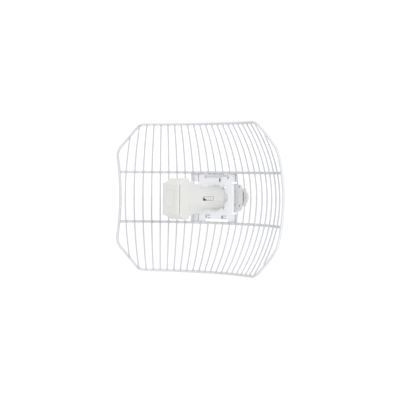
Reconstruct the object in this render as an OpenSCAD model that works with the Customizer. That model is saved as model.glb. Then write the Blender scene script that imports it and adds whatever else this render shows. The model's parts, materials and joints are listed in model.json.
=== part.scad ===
// Parabolic grid antenna with a plug-in feed unit and a ball-joint mast bracket.
// Millimetres, +Z up. The antenna looks along -Y. The origin is on the axis of the mast,
// level with the middle of the reflector. The modules are drawn from the reflector's vertex
// and moved into place by at_vertex().

/* [Reflector] */
// Height over the rim rod
grid_height = 281; // [250:1:340]
// Width over the rim rod at mid height
grid_width = 370; // [350:1:444]
// Radius of the level curve through the vertex
level_curve_r = 282; // [260:1:340]
// Radius of the curve of each upright wire
upright_curve_r = 251.5; // [200:0.5:302]
// Distance in front of the vertex of the upright line that the wires lean towards
fan_distance = 173.5; // [160:0.5:210]
// Spacing of the upright wires, along the level curve
wire_pitch = 16.9; // [14:0.1:17.5]
// Diameter of the upright wires
wire_d = 2.4; // [1.8:0.1:3.5]
// Diameter of the rim rod and the cross rods
rod_d = 5; // [4:0.1:6]
// How far a wire is sunk into a rod where they are welded
weld_sink = 0.15; // [0.1:0.01:0.3]
// Height of each cross rod above or below the middle
cross_rod_z = 47.6; // [42:0.1:57]
// Half height of the rim's upright sides, up to the corner
side_corner_z = 86; // [72:1:95]
// Extra spread of the side corners along the level curve
side_corner_spread = 12.8; // [8:0.1:16]
// Length of the rim's rounding at each corner
corner_len = 12; // [6:0.5:16]

/* [Centre plate] */
// Sheet thickness
sheet_t = 1.5; // [1:0.1:2]
// Half width of the flat
plate_half_w = 42.6; // [40:0.1:46]
// Width of the wing behind the next wire on the left
wing_w = 15; // [8:0.5:18]
// Width of the lip on the right
lip_w = 2.2; // [2:0.1:5]
// Angle that the wing and the lip are bent forward
wing_angle = 13; // [0:1:16]
// Distance of each folded side tab from the middle
tab_x = 35.5; // [34.5:0.1:38]
// Depth of the folded side tabs
tab_depth = 12; // [10:0.5:14]
// Half height of the folded side tabs
tab_half_h = 27; // [22:0.5:28]
// Radius of the hole for the feed's tail
plate_hole_r = 17.2; // [16:0.1:18]
// Sideways distance of the housing screws from the middle
screw_x = 16.6; // [15:0.1:20]
// Upright distance of the housing screws from the middle
screw_z = 19.4; // [19:0.1:21]

/* [Feed] */
// Distance of the feed's front face in front of the vertex
feed_reach = 149; // [130:1:170]
// Width of the feed head
head_w = 36; // [32:1:44]
// Height of the feed head
head_h = 74; // [70:1:90]
// Height of the feed's front face
face_h = 58; // [52:1:64]
// Depth of the feed head
head_depth = 35; // [28:1:42]
// Thickness of the front cover's face
cover_t = 2.6; // [2:0.1:4]
// Width of the seal groove between the front cover and the body
seal_w = 2.4; // [1.5:0.1:3]
// Radius of the round base of the feed
base_r = 21; // [19:0.5:23]
// Length of the round base of the feed
base_len = 39; // [38:1:48]
// Wall of the feed body
feed_wall = 2; // [1.5:0.1:2.5]

/* [Ball joint] */
// Distance of the ball's centre behind the vertex
ball_y = 27; // [25:0.5:32]
// Radius of the ball
ball_r = 13; // [11:0.5:14]
// Radius of the stem between the ball and the bracket
stem_r = 6; // [5:0.1:6.5]
// Thickness of each bearing shell around the ball
shell_t = 1.4; // [1:0.1:2]
// Play between two faces that slide on each other
play = 0.05; // [0.02:0.01:0.1]

/* [Rear housing] */
// Half width of the housing
housing_half_w = 33; // [31:0.5:34]
// Half height of the housing
housing_half_h = 25.7; // [24.5:0.1:28]
// Depth of the housing behind the plate
housing_depth = 33.5; // [31:0.5:38]
// Radius of the threaded neck
neck_r = 20.5; // [19.5:0.1:22]
// Length of the threaded neck
neck_len = 6; // [4:0.5:7]
// Length of the side walls past the housing's back
guard_len = 5; // [3:0.5:5.5]
// Outer radius of the lock nut
nut_r = 25; // [23.5:0.5:28]

/* [Mast bracket] */
// Distance of the bracket's front face behind the vertex
bracket_y = 53; // [52:0.5:60]
// Half width of the bracket
bracket_half_w = 32.5; // [30:0.5:38]
// Height of the bracket
bracket_h = 34.4; // [28:0.2:40]
// Thickness of the bracket's plate
bracket_t = 9; // [8:0.5:12]
// Radius of the mast that the saddle fits
mast_r = 25; // [24:0.5:28]
// Wall left in front of the mast in the saddle
saddle_wall = 3; // [2.5:0.1:5]
// Half angle of the saddle's hold on the mast
saddle_half_angle = 57; // [56:1:62]

/* [Hidden] */
wires_each_side = 11;
wires_cut_each_side = 2;
wires_full_each_side = wires_each_side - wires_cut_each_side;
sweep_sides = 16;
gap = 0.3;
steel = [0.84, 0.85, 0.88];
plastic = [0.90, 0.90, 0.88];
nylon = [0.80, 0.80, 0.77];

mast_to_vertex = bracket_y + saddle_wall + mast_r;
rod_offset = (rod_d + wire_d) / 2 - weld_sink;
rise = 1 + rod_offset / upright_curve_r;
rim_z = (grid_height - rod_d) / 2 / rise;
cross_z = cross_rod_z / rise;
top_corner_a = (wires_each_side - 1) * wire_pitch;
side_a = level_curve_r * asin((grid_width / 2 - rod_d) / level_curve_r) * PI / 180;
side_corner_a = side_a + side_corner_spread;

LEFT = [for (k = [1:wires_full_each_side]) str("wire_left_", k)];
RIGHT = [for (k = [1:wires_full_each_side]) str("wire_right_", k)];
SHORT = [for (k = [1:2 * wires_cut_each_side + 1]) k];
UPPER = [for (k = SHORT) str("wire_upper_", k)];
LOWER = [for (k = SHORT) str("wire_lower_", k)];

// ---- The reflector's curved surface ----
// A place on it is a length along the level curve, a, and a height, z.

function turn(a) = a / level_curve_r * 180 / PI;
function level_point(a) = [level_curve_r * sin(turn(a)), -level_curve_r * (1 - cos(turn(a)))];
function lean(a) = atan2(level_point(a)[0], fan_distance + level_point(a)[1]);
function sag(z) = upright_curve_r - sqrt(upright_curve_r * upright_curve_r - z * z);
function on_grid(a, z) = [
    level_point(a)[0] - sag(z) * sin(lean(a)),
    level_point(a)[1] - sag(z) * cos(lean(a)),
    z
];
function unit(v) = v / norm(v);
function back_normal(a, z) = unit(cross(on_grid(a, z + 1) - on_grid(a, z - 1),
                                        on_grid(a + 1, z) - on_grid(a - 1, z)));
function behind_grid(a, z) = on_grid(a, z) + rod_offset * back_normal(a, z);

// ---- The rim's outline, as [a, z] places ----

function side_place(z) = [side_a + side_corner_spread * pow(z / side_corner_z, 2), z];
function towards(p, q, d) = p + d * unit(q - p);
function mix(p, q, f) = p + (q - p) * f;
function rounded(p, c, q) = [for (f = [0:0.25:1]) mix(mix(p, c, f), mix(c, q, f), f)];

rim_top = [top_corner_a, rim_z];
rim_side = [side_corner_a, side_corner_z];
side_next = side_place(side_corner_z - corner_len);
rim_quarter = concat(
    [for (i = [0:wires_each_side]) if (i * wire_pitch < top_corner_a - corner_len - 2) [i * wire_pitch, rim_z]],
    rounded(towards(rim_top, [0, rim_z], corner_len), rim_top, towards(rim_top, rim_side, corner_len)),
    [for (f = [0.2:0.2:0.8])
        mix(towards(rim_top, rim_side, corner_len), towards(rim_side, rim_top, corner_len), f)],
    rounded(towards(rim_side, rim_top, corner_len), rim_side, side_next),
    [for (f = [0.15:0.15:0.9]) side_place(side_next[1] * (1 - f))]
);
quarter_last = len(rim_quarter) - 1;
rim_places = concat(
    rim_quarter,
    [side_place(0)],
    [for (k = [quarter_last:-1:1]) [rim_quarter[k][0], -rim_quarter[k][1]]],
    [for (k = [0:quarter_last]) [-rim_quarter[k][0], -rim_quarter[k][1]]],
    [[-side_a, 0]],
    [for (k = [quarter_last:-1:1]) [-rim_quarter[k][0], rim_quarter[k][1]]]
);

// Height at which a wire meets the rim
chamfer_slope = (rim_z - side_corner_z) / (side_corner_a - top_corner_a);
function wire_top(i) =
    abs(i) < wires_each_side - 1 ? rim_z + weld_sink
    : rim_z - chamfer_slope * (abs(i) * wire_pitch - top_corner_a) - weld_sink;

// ---- Helpers ----

module at_vertex() {
    translate([0, -mast_to_vertex, 0]) children();
}

module powder_coat() {
    color(steel) at_vertex() children();
}

module moulded() {
    color(plastic) at_vertex() children();
}

// Disc or tube stock along Y, from y0 to y1
module rod_y(r, y0, y1, r2 = -1, fn = 64) {
    translate([0, y0, 0]) rotate([-90, 0, 0])
        cylinder(r1 = r, r2 = r2 < 0 ? r : r2, h = y1 - y0, $fn = fn);
}

// Rod along X, about the middle of the part
module rod_x(r, x0, x1) {
    translate([x0, 0, 0]) rotate([0, 90, 0]) cylinder(r = r, h = x1 - x0, $fn = 48);
}

// Block given by its low and high corners
module block(low, high) {
    translate(low) cube(high - low);
}

// Upright rounded rectangle, w by h, from y0 to y1
module slab_y(w, h, r, y0, y1) {
    translate([0, y1, 0]) rotate([90, 0, 0]) linear_extrude(y1 - y0) union() {
        square([w - 2 * r, h], center = true);
        square([w, h - 2 * r], center = true);
        for (sx = [-1, 1], sz = [-1, 1])
            translate([sx * (w / 2 - r), sz * (h / 2 - r)]) circle(r = r, $fn = 32);
    }
}

// Rod swept along places on the grid, behind the wires
module swept_rod(places, closed) {
    n = len(places);
    centres = [for (p = places) behind_grid(p[0], p[1])];
    function next(k) = closed ? (k + 1) % n : min(k + 1, n - 1);
    function last(k) = closed ? (k + n - 1) % n : max(k - 1, 0);
    rings = [for (k = [0:n - 1])
        let (along = unit(centres[next(k)] - centres[last(k)]),
             side = unit(cross(along, back_normal(places[k][0], places[k][1]))),
             up = cross(side, along))
        for (s = [0:sweep_sides - 1])
            centres[k] + rod_d / 2 * (cos(s * 360 / sweep_sides) * side
                                      + sin(s * 360 / sweep_sides) * up)];
    function at(k, s) = (k % n) * sweep_sides + s % sweep_sides;
    walls = [for (k = [0:(closed ? n - 1 : n - 2)], s = [0:sweep_sides - 1])
        [at(k, s), at(k, s + 1), at(k + 1, s + 1), at(k + 1, s)]];
    ends = closed ? [] : [
        [for (s = [sweep_sides - 1:-1:0]) at(0, s)],
        [for (s = [0:sweep_sides - 1]) at(n - 1, s)]
    ];
    polyhedron(points = rings, faces = concat(walls, ends), convexity = 6);
}

// One upright wire, from height z0 to z1
module wire(i, z0, z1) {
    a = i * wire_pitch;
    start = asin(z0 / upright_curve_r);
    foot = level_point(a);
    translate([foot[0] - upright_curve_r * sin(lean(a)), foot[1] - upright_curve_r * cos(lean(a)), 0])
        rotate([0, 0, 90 - lean(a)]) rotate([90, 0, 0]) rotate([0, 0, start])
            rotate_extrude(angle = asin(z1 / upright_curve_r) - start, $fn = 200)
                translate([upright_curve_r, 0]) circle(d = wire_d, $fn = 24);
}

// ---- Reflector ----

module rim_rod() {
    powder_coat() swept_rod(rim_places, true);
}

module cross_rod(side) {
    reach = side_place(cross_z)[0] - rod_d / 2 + weld_sink;
    stations = concat(
        [-reach],
        [for (i = [-wires_each_side:wires_each_side]) if (abs(i * wire_pitch) < reach - 2) i * wire_pitch],
        [reach]
    );
    powder_coat() swept_rod([for (a = stations) [a, side * cross_z]], false);
}

module full_wire(i) {
    powder_coat() wire(i, -wire_top(i), wire_top(i));
}

module short_wire(i, side) {
    low = cross_z - wire_d / 2;
    powder_coat() {
        if (side > 0) wire(i, low, wire_top(i));
        else wire(i, -wire_top(i), -low);
    }
}

// ---- Centre plate ----

plate_front = -1;
plate_back = plate_front + sheet_t;
plate_half_h = cross_rod_z - rod_d / 2 + 0.4;
notch_half_w = 25;
notch_z = plate_half_h - 5.6;
relief_r = 1.5;
bend_start = 1;
tab_front = tab_x + sheet_t;
window_half_h = 14.3;

// Strip of sheet bent forward at the plate's edge, on side +1 or -1
module wing(side, width) {
    along = [cos(wing_angle), -sin(wing_angle)];
    across = [sin(wing_angle), cos(wing_angle)];
    bend = [plate_half_w, plate_front];
    profile = [
        [plate_half_w - bend_start, plate_front], bend, bend + width * along,
        bend + width * along + sheet_t * across,
        [plate_half_w + sheet_t * tan(wing_angle / 2), plate_back], [plate_half_w - bend_start, plate_back]
    ];
    for (z0 = [tab_half_h + 3, -plate_half_h]) translate([0, 0, z0])
        linear_extrude(plate_half_h - tab_half_h - 3)
            polygon([for (p = profile) [side * p[0], p[1]]]);
}

// Side tab folded back, with the window that the housing's tongue clicks into
module side_tab(side) {
    x0 = side > 0 ? tab_x : -tab_front;
    difference() {
        block([x0, plate_front, -tab_half_h], [x0 + sheet_t, plate_front + tab_depth, tab_half_h]);
        block([x0 - 1, plate_back + 0.8, -window_half_h],
              [x0 + sheet_t + 1, plate_front + tab_depth - 1.6, window_half_h]);
    }
}

module centre_plate() {
    powder_coat() {
        difference() {
            block([-plate_half_w, plate_front, -plate_half_h], [plate_half_w, plate_back, plate_half_h]);
            rod_y(plate_hole_r, plate_front - 1, plate_back + 1);
            for (sx = [-1, 1], sz = [-1, 1])
                translate([sx * screw_x, 0, sz * screw_z]) rod_y(screw_r + play, plate_front - 1, plate_back + 1);
            for (side = [-1, 1]) {
                x0 = side > 0 ? tab_front : -plate_half_w - 1;
                block([x0, plate_front - 1, -tab_half_h - 3],
                      [x0 + plate_half_w + 1 - tab_front, plate_back + 1, tab_half_h + 3]);
                for (sz = [-1, 1]) {
                    translate([side * tab_front, 0, sz * (tab_half_h + relief_r + 0.2)])
                        rod_y(relief_r, plate_front - 1, plate_back + 1, fn = 24);
                    z0 = sz > 0 ? notch_z : -plate_half_h - 1;
                    block([-notch_half_w, plate_front - 1, z0],
                          [notch_half_w, plate_back + 1, z0 + plate_half_h + 1 - notch_z]);
                }
            }
        }
        for (side = [-1, 1]) side_tab(side);
        for (sz = [-1, 1]) {
            z0 = sz > 0 ? notch_z - sheet_t : -notch_z;
            block([4 - notch_half_w, plate_front + 0.2, z0], [notch_half_w - 4, plate_back + 5, z0 + sheet_t]);
        }
        wing(-1, wing_w);
        wing(1, lip_w);
    }
}

screw_r = 2;
screw_len = 9;
screw_head_r = 3.4;
screw_head_t = 2;

module housing_screws() {
    color([0.72, 0.70, 0.55]) at_vertex()
        for (sx = [-1, 1], sz = [-1, 1]) translate([sx * screw_x, 0, sz * screw_z]) {
            rod_y(screw_r, plate_front, screw_len, fn = 32);
            difference() {
                rod_y(screw_head_r - 0.9, plate_front - screw_head_t, plate_front, screw_head_r, fn = 32);
                for (a = [0, 90]) rotate([0, a, 0])
                    block([-2, plate_front - screw_head_t - 1, -0.4], [2, plate_front - screw_head_t + 1, 0.4]);
            }
        }
}

// ---- Rear housing and ball joint ----

housing_front = plate_back;
housing_back = plate_back + housing_depth;
socket_r = ball_r + play + shell_t + play;
collar_r = neck_r - 3.5;
collar_y = ball_y + 4;
guard_x = nut_r + 3;
nut_front = housing_back + 1;
nut_lip = housing_back + neck_len + 0.5;
nut_back = nut_lip + 3;
nut_opening_r = stem_r + 7;
tail_len = 8;
recess_len = tail_len + 1;
ring_front = ball_y + 2;
ring_back = ball_y + 0.62 * (ball_r + shell_t);
seat_back = ball_y - 4.5;
tongue_half_h = 12.5;
tongue_reach = 3.6;

module ball_shape(r) {
    translate([0, ball_y, 0]) rotate([-90, 0, 0]) sphere(r = r, $fn = 96);
}

module rear_housing() {
    color(nylon) at_vertex() difference() {
        union() {
            difference() {
                slab_y(2 * housing_half_w, 2 * housing_half_h, 7, housing_front, housing_back + guard_len);
                block([-guard_x, housing_back, -housing_half_h - 1],
                      [guard_x, housing_back + guard_len + 1, housing_half_h + 1]);
            }
            rod_y(neck_r, housing_back - 1, housing_back + neck_len);
            for (side = [-1, 1]) {
                x0 = side > 0 ? housing_half_w - 1 : -housing_half_w - tongue_reach;
                block([x0, plate_back + 1.6, -tongue_half_h],
                      [x0 + tongue_reach + 1, plate_front + tab_depth - 2.4, tongue_half_h]);
            }
        }
        rod_y(plate_hole_r, housing_front - 1, housing_front + recess_len);
        ball_shape(socket_r);
        rod_y(socket_r, ball_y, housing_back + neck_len + 1);
        rod_y(collar_r, collar_y - 0.5, housing_back + neck_len + 1);
        for (sx = [-1, 1], sz = [-1, 1])
            translate([sx * screw_x, 0, sz * screw_z]) rod_y(screw_r + play, housing_front - 1, screw_len + 2);
        for (side = [-1, 1], z = [-15, 21])
            block([side * housing_half_w - 3, housing_back - 9, z - 2],
                  [side * housing_half_w + 3, housing_back - 5, z + 2]);
    }
}

module ball_seat() {
    color("dimgray") at_vertex() difference() {
        ball_shape(ball_r + play + shell_t);
        ball_shape(ball_r + play);
        block([-20, seat_back, -20], [20, ball_y + 20, 20]);
    }
}

module ball_ring() {
    color("gray") at_vertex() difference() {
        ball_shape(ball_r + play + shell_t);
        ball_shape(ball_r + play);
        block([-20, ball_y - 20, -20], [20, ring_front, 20]);
        block([-20, ring_back, -20], [20, ball_y + 20, 20]);
    }
}

module lock_nut() {
    grips = 12;
    color(nylon) at_vertex() difference() {
        union() {
            rod_y(nut_r, nut_front, nut_lip);
            rod_y(nut_r, nut_lip, nut_back, nut_r - 6);
        }
        rod_y(neck_r + play, nut_front - 1, nut_lip - 0.2);
        rod_y(nut_opening_r, nut_front, nut_back + 1);
        for (k = [0:grips - 1]) rotate([0, k * 360 / grips, 0])
            translate([nut_r + 1.4, 0, 0]) rod_y(2.4, nut_front - 1, nut_back + 1, fn = 24);
    }
    color(nylon) at_vertex() difference() {
        rod_y(collar_r - play, collar_y, nut_lip);
        rod_y(nut_opening_r, collar_y - 1, nut_back + 1);
        ball_shape(socket_r);
    }
}

// ---- Mast bracket ----

bracket_back = bracket_y + bracket_t;
saddle_lip_y = mast_to_vertex - mast_r * cos(saddle_half_angle);
saddle_half_w = mast_r * sin(saddle_half_angle) + 1.2;
strap_slot_w = 2.4;
strap_slot_h = 14;
strap_x = saddle_half_w + 2.6;

module mast_bracket() {
    end_r = bracket_h / 2;
    color(nylon) at_vertex() {
        ball_shape(ball_r);
        rod_y(stem_r, ball_y, bracket_y + 1);
        difference() {
            union() {
                block([end_r - bracket_half_w, bracket_y, -end_r], [bracket_half_w - end_r, bracket_back, end_r]);
                for (side = [-1, 1]) translate([side * (bracket_half_w - end_r), 0, 0])
                    rod_y(end_r, bracket_y, bracket_back);
                block([-saddle_half_w, bracket_y + 1, -end_r], [saddle_half_w, saddle_lip_y, end_r]);
            }
            translate([0, mast_to_vertex, -end_r - 1]) cylinder(r = mast_r, h = bracket_h + 2, $fn = 128);
            for (side = [-1, 1])
                block([side * strap_x - strap_slot_w / 2, bracket_y - 1, -strap_slot_h / 2],
                      [side * strap_x + strap_slot_w / 2, bracket_back + 1, strap_slot_h / 2]);
        }
    }
}

// ---- Feed unit ----

face_y = -feed_reach;
cover_back = face_y + cover_t;
body_front = cover_back + seal_w;
head_back = face_y + head_depth;
base_front = -base_len;
base_back = plate_front - 0.2;
crown_y = head_back - 12;

shoulder_y = head_back + 18;
pad_half_h = 6;
pad_w = base_r + 0.3;
pad_end = base_back - 6;
barrel_tip_r = base_r - 2.7;
barrel_tip_y = head_back + 10;

// One slice of the arm, from y0 to y1: half width w up to height wz, and half height h out to width hw
module arm_slice(y0, y1, w, wz, hw, h, inset) {
    translate([0, y1, 0]) rotate([90, 0, 0]) linear_extrude(y1 - y0) offset(delta = -inset)
        polygon([[w, wz], [hw, h], [-hw, h], [-w, wz], [-w, -wz], [-hw, -h], [hw, -h], [w, -wz]]);
}

// The body's shape, drawn inwards by inset
module feed_form(inset) {
    hull() {
        slab_y(head_w - 2 * inset, face_h - 2 * inset, 5, body_front + inset / 2, body_front + 1 + inset / 2);
        slab_y(head_w - 2 * inset, head_h - 2 * inset, 5, crown_y, head_back - 3 - inset);
        slab_y(head_w - 6 - 2 * inset, head_h - 8 - 2 * inset, 5, head_back - 1 - inset, head_back - inset);
    }
    hull() {
        arm_slice(head_back - 4, shoulder_y, head_w / 2, 7.6, 5, head_h / 2 - 6, inset);
        arm_slice(base_front - 1, base_front, pad_w, pad_half_h, 4, base_r - 1.5, inset);
    }
    block([inset - pad_w, base_front - 2, inset - pad_half_h], [pad_w - inset, pad_end, pad_half_h - inset]);
    rod_y(barrel_tip_r - inset, barrel_tip_y, base_front, base_r - inset);
    rod_y(base_r - inset, base_front - 0.5, base_back - inset);
}

window_y0 = -75;
window_y1 = -41;
window_low = -3.9;
window_high = 3.5;
bay_half_w = 9.5;
bay_y0 = -38.6;
bay_y1 = -14;
pin_y = -34.6;
pin_z = -18.2;
pin_r = 0.9;
knuckle_r = 1.9;
board_x = -8;
board_t = 1.6;
board_half_h = 13;
board_back = -9;
board_screw_z = 0;
board_screw_r = 1.2;
light_r = 1.2;
jack_bottom = -13.4;
button_y = -32.7;
button_r = 1.25;
dipole_y = face_y + 19.5;
splash_y = face_y + 7;

module board_screw_places() {
    for (y = [-100, -48]) translate([0, y, board_screw_z]) children();
}

module light_places() {
    for (k = [0:3]) translate([0, -62 + k * 5, 0]) children();
}

module feed_body() {
    lug_w = 10.5;
    lug_r = base_r + 3;
    tail_r = plate_hole_r - gap;
    tail_end = plate_back + tail_len;
    moulded() {
        difference() {
            union() {
                feed_form(0);
                rod_y(tail_r, base_back - 1, tail_end);
                intersection() {
                    rod_y(lug_r, base_back - 7, base_back);
                    for (a = [0, 90]) rotate([0, a, 0])
                        block([-lug_r, base_back - 5, -lug_w / 2], [lug_r, base_back, lug_w / 2]);
                }
            }
            feed_form(feed_wall);
            slab_y(head_w - 2 * feed_wall - 1, face_h - 2 * feed_wall - 1, 4, face_y, body_front + 2);
            rod_y(tail_r - feed_wall, base_back - 4, tail_end - feed_wall);
            block([base_r - 8, window_y0, window_low], [base_r + 2, window_y1, window_high]);
            block([-bay_half_w, bay_y0, -base_r - 6], [bay_half_w, bay_y1, -11]);
            light_places() translate([0, 0, -30]) cylinder(r = light_r + play, h = 20, $fn = 24);
        }
        difference() {
            intersection() {
                feed_form(feed_wall / 2);
                board_screw_places() rod_x(2.6, -base_r, board_x - board_t);
            }
            board_screw_places() rod_x(board_screw_r + play, board_x - 7, board_x);
        }
    }
}

module front_cover() {
    moulded() {
        difference() {
            slab_y(head_w, face_h, 5, face_y, cover_back);
            translate([-2.2, 0, 1]) slab_y(20, 33, 3, face_y - 1, face_y + 0.8);
        }
        difference() {
            slab_y(head_w - 6, face_h - 6, 3, cover_back - 0.5, body_front + 2);
            slab_y(head_w - 9, face_h - 9, 2, cover_back - 1, body_front + 3);
        }
    }
}

module cover_seal() {
    color("dimgray") at_vertex() difference() {
        slab_y(head_w - 2.4, face_h - 2.4, 4, cover_back, body_front);
        slab_y(head_w - 6 + 2 * play, face_h - 6 + 2 * play, 3, cover_back - 1, body_front + 1);
    }
}

module main_board() {
    color("darkgreen") at_vertex() difference() {
        block([board_x - board_t, dipole_y, -board_half_h], [board_x, board_back, board_half_h]);
        board_screw_places() rod_x(board_screw_r + play, board_x - board_t - 1, board_x + 1);
    }
}

module board_screws() {
    color("silver") at_vertex() board_screw_places() {
        rod_x(board_screw_r, board_x - 6, board_x);
        rod_x(2.2, board_x, board_x + 1.4);
    }
}

module shield_can() {
    color("lightgray") at_vertex() difference() {
        block([board_x, -92, -11], [board_x + 4, -58, 5]);
        block([board_x - 1, -91.6, -10.6], [board_x + 3.6, -58.4, 4.6]);
    }
}

module dipole_board() {
    color("darkgreen") at_vertex() block([-12, dipole_y - 1.6, -24], [12, dipole_y, 24]);
}

module splash_plate() {
    color("silver") at_vertex() slab_y(26, 48, 3, splash_y, splash_y + 0.8);
}

module splash_posts() {
    color("white") at_vertex()
        for (z = [-19, 19]) translate([0, 0, z]) rod_y(2, splash_y + 0.8, dipole_y - 1.6, fn = 32);
}

module ethernet_jack() {
    color("silver") at_vertex() difference() {
        block([board_x, -30.2, jack_bottom], [-board_x, -16.6, jack_bottom + 16]);
        block([-5.9, -27.4, jack_bottom - 1], [5.9, -19.4, jack_bottom + 12.5]);
        block([-2, -29, jack_bottom - 1], [2, -27, jack_bottom + 12.5]);
    }
}

module port_bezel() {
    moulded() difference() {
        block([-bay_half_w + 0.2, bay_y0 + 0.4, jack_bottom - 1.2], [bay_half_w - 0.2, bay_y1 - 0.4, jack_bottom]);
        block([-6.4, -29.6, jack_bottom - 2], [6.4, -18.6, jack_bottom + 1]);
        translate([0, button_y, jack_bottom - 2]) cylinder(r = button_r + play, h = 4, $fn = 32);
    }
}

module port_cover() {
    moulded() difference() {
        union() {
            intersection() {
                difference() {
                    rod_y(base_r, bay_y0, bay_y1);
                    rod_y(base_r - 1.8, bay_y0 - 1, bay_y1 + 1);
                }
                block([gap - bay_half_w, pin_y, -base_r - 1], [bay_half_w - gap, bay_y1 - gap, -10]);
            }
            translate([0, pin_y, pin_z]) rod_x(knuckle_r, -bay_half_w + 1.5, bay_half_w - 1.5);
        }
        translate([0, pin_y, pin_z]) rod_x(pin_r + play, -bay_half_w, bay_half_w);
    }
}

module cover_pin() {
    color("silver") at_vertex() translate([0, pin_y, pin_z]) rod_x(pin_r, -bay_half_w - 0.6, bay_half_w + 0.6);
}

module reset_button() {
    color("dimgray") at_vertex() translate([0, button_y, 0]) {
        translate([0, 0, jack_bottom - 2]) cylinder(r = button_r, h = 5, $fn = 32);
        translate([0, 0, jack_bottom + 1]) cylinder(r = button_r + 0.8, h = 1.4, $fn = 32);
    }
}

module release_latch() {
    moulded() translate([0, 0, window_low + gap]) linear_extrude(window_high - window_low - 2 * gap)
        polygon([
            [12.2, window_y0 + gap], [13.4, window_y0 + gap], [16.8, -63], [17.9, -60.5],
            [19.6, window_y1 - 4], [19.6, window_y1 - gap], [15.6, window_y1 - gap], [14.4, -60]
        ]);
}

module light_pipes() {
    color([0.9, 0.95, 0.95, 0.6]) at_vertex() light_places()
        translate([0, 0, -24.2]) cylinder(r = light_r, h = 8, $fn = 24);
}

// ---- Nodes ----

rim_rod();
cross_rod(1);  // cross_rod_upper
cross_rod(-1);  // cross_rod_lower
for (k = [1:wires_full_each_side]) {
    full_wire(-k - wires_cut_each_side);
    full_wire(k + wires_cut_each_side);
}
for (k = SHORT) {
    short_wire(k - 1 - wires_cut_each_side, 1);
    short_wire(k - 1 - wires_cut_each_side, -1);
}
centre_plate();
housing_screws();
rear_housing();
ball_seat();
ball_ring();
lock_nut();
mast_bracket();
feed_body();
front_cover();
cover_seal();
main_board();
board_screws();
shield_can();
dipole_board();
splash_plate();
splash_posts();
ethernet_jack();
port_bezel();
port_cover();
cover_pin();
reset_button();
release_latch();
light_pipes();
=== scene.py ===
"""Parabolic grid antenna: the looks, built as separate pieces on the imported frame."""

import json
import math

import bmesh
import bpy
from mathutils import Matrix, Vector


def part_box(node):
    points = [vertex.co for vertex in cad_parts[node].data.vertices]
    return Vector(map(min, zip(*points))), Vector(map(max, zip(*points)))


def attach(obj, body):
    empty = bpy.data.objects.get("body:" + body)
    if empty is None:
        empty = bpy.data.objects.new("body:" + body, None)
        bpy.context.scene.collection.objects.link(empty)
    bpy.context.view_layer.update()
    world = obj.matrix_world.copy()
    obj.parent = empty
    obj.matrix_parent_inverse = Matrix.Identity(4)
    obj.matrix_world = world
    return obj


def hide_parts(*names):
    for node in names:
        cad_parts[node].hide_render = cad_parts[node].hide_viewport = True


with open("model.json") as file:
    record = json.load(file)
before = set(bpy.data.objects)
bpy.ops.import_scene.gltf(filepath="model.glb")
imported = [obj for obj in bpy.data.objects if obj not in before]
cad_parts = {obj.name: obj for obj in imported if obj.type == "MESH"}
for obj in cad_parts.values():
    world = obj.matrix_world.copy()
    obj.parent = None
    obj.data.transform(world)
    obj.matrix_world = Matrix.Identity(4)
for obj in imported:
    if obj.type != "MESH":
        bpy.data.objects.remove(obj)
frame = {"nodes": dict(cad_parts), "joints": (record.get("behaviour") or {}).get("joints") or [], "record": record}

bl_info = {
    "name": "Parabolic grid antenna",
    "version": (1, 0, 0),
    "blender": (4, 5, 0),
    "location": "3D View > Sidebar > Antenna",
    "description": "Builds a wire-grid dish antenna, piece by piece, around its packed frame",
    "category": "Add Mesh",
}

# ---- Places and sizes that the frame gives ----

MM = 0.001
BALL_BEHIND_VERTEX = 27.0
JOINTS = {joint["name"]: joint for joint in frame["joints"]}
VERTEX = Vector(JOINTS["pan"]["pos_m"]) - Vector((0, BALL_BEHIND_VERTEX * MM, 0))


def to_row(x, y, z):
    """A place in millimetres from the reflector's vertex, in the row frame in metres."""
    return Vector((x, y, z)) * MM + VERTEX


# ---- The reflector's curved surface, in millimetres ----

GRID_W, GRID_H = 370.0, 281.0
CROSS_ROD_AT = 47.6  # height of the cross rods, behind the wires
LEVEL_R, UPRIGHT_R = 282.0, 251.5  # radii of the level and the upright curve
FAN = 173.5  # the wires' planes meet this far in front of the vertex
PITCH = 16.9
ROD_D, WIRE_D = 5.0, 2.4
SINK = 0.15  # how deep a weld lets a wire into a rod
WIRES_EACH_SIDE, CUT_EACH_SIDE = 11, 2
WIRES = range(-WIRES_EACH_SIDE, WIRES_EACH_SIDE + 1)
SIDE_CORNER_Z, SIDE_SPREAD, CORNER_LEN = 86.0, 12.8, 12.0
ROD_OFFSET = (ROD_D + WIRE_D) / 2 - SINK
RISE = 1 + ROD_OFFSET / UPRIGHT_R
RIM_Z = (GRID_H - ROD_D) / 2 / RISE
CROSS_Z = CROSS_ROD_AT / RISE
TOP_CORNER_A = (WIRES_EACH_SIDE - 1) * PITCH
SIDE_A = LEVEL_R * math.asin((GRID_W / 2 - ROD_D) / LEVEL_R)
SIDE_CORNER_A = SIDE_A + SIDE_SPREAD


def level_point(a):
    """The place at length a along the level curve through the vertex."""
    return LEVEL_R * math.sin(a / LEVEL_R), -LEVEL_R * (1 - math.cos(a / LEVEL_R))


def on_grid(a, z):
    """The place on the wires' middle surface at length a and height z."""
    x, y = level_point(a)
    lean = math.atan2(x, FAN + y)
    sag = UPRIGHT_R - math.sqrt(UPRIGHT_R**2 - z * z)
    return Vector((x - sag * math.sin(lean), y - sag * math.cos(lean), z))


def back_normal(a, z):
    """Which way is backwards, square to the surface."""
    up = on_grid(a, z + 1) - on_grid(a, z - 1)
    along = on_grid(a + 1, z) - on_grid(a - 1, z)
    return up.cross(along).normalized()


def behind_grid(a, z):
    """The middle of a rod that lies behind the wires."""
    return on_grid(a, z) + ROD_OFFSET * back_normal(a, z)


def side_place(z):
    """The rim's upright side at height z, as (a, z)."""
    return Vector((SIDE_A + SIDE_SPREAD * (z / SIDE_CORNER_Z) ** 2, z))


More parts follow.
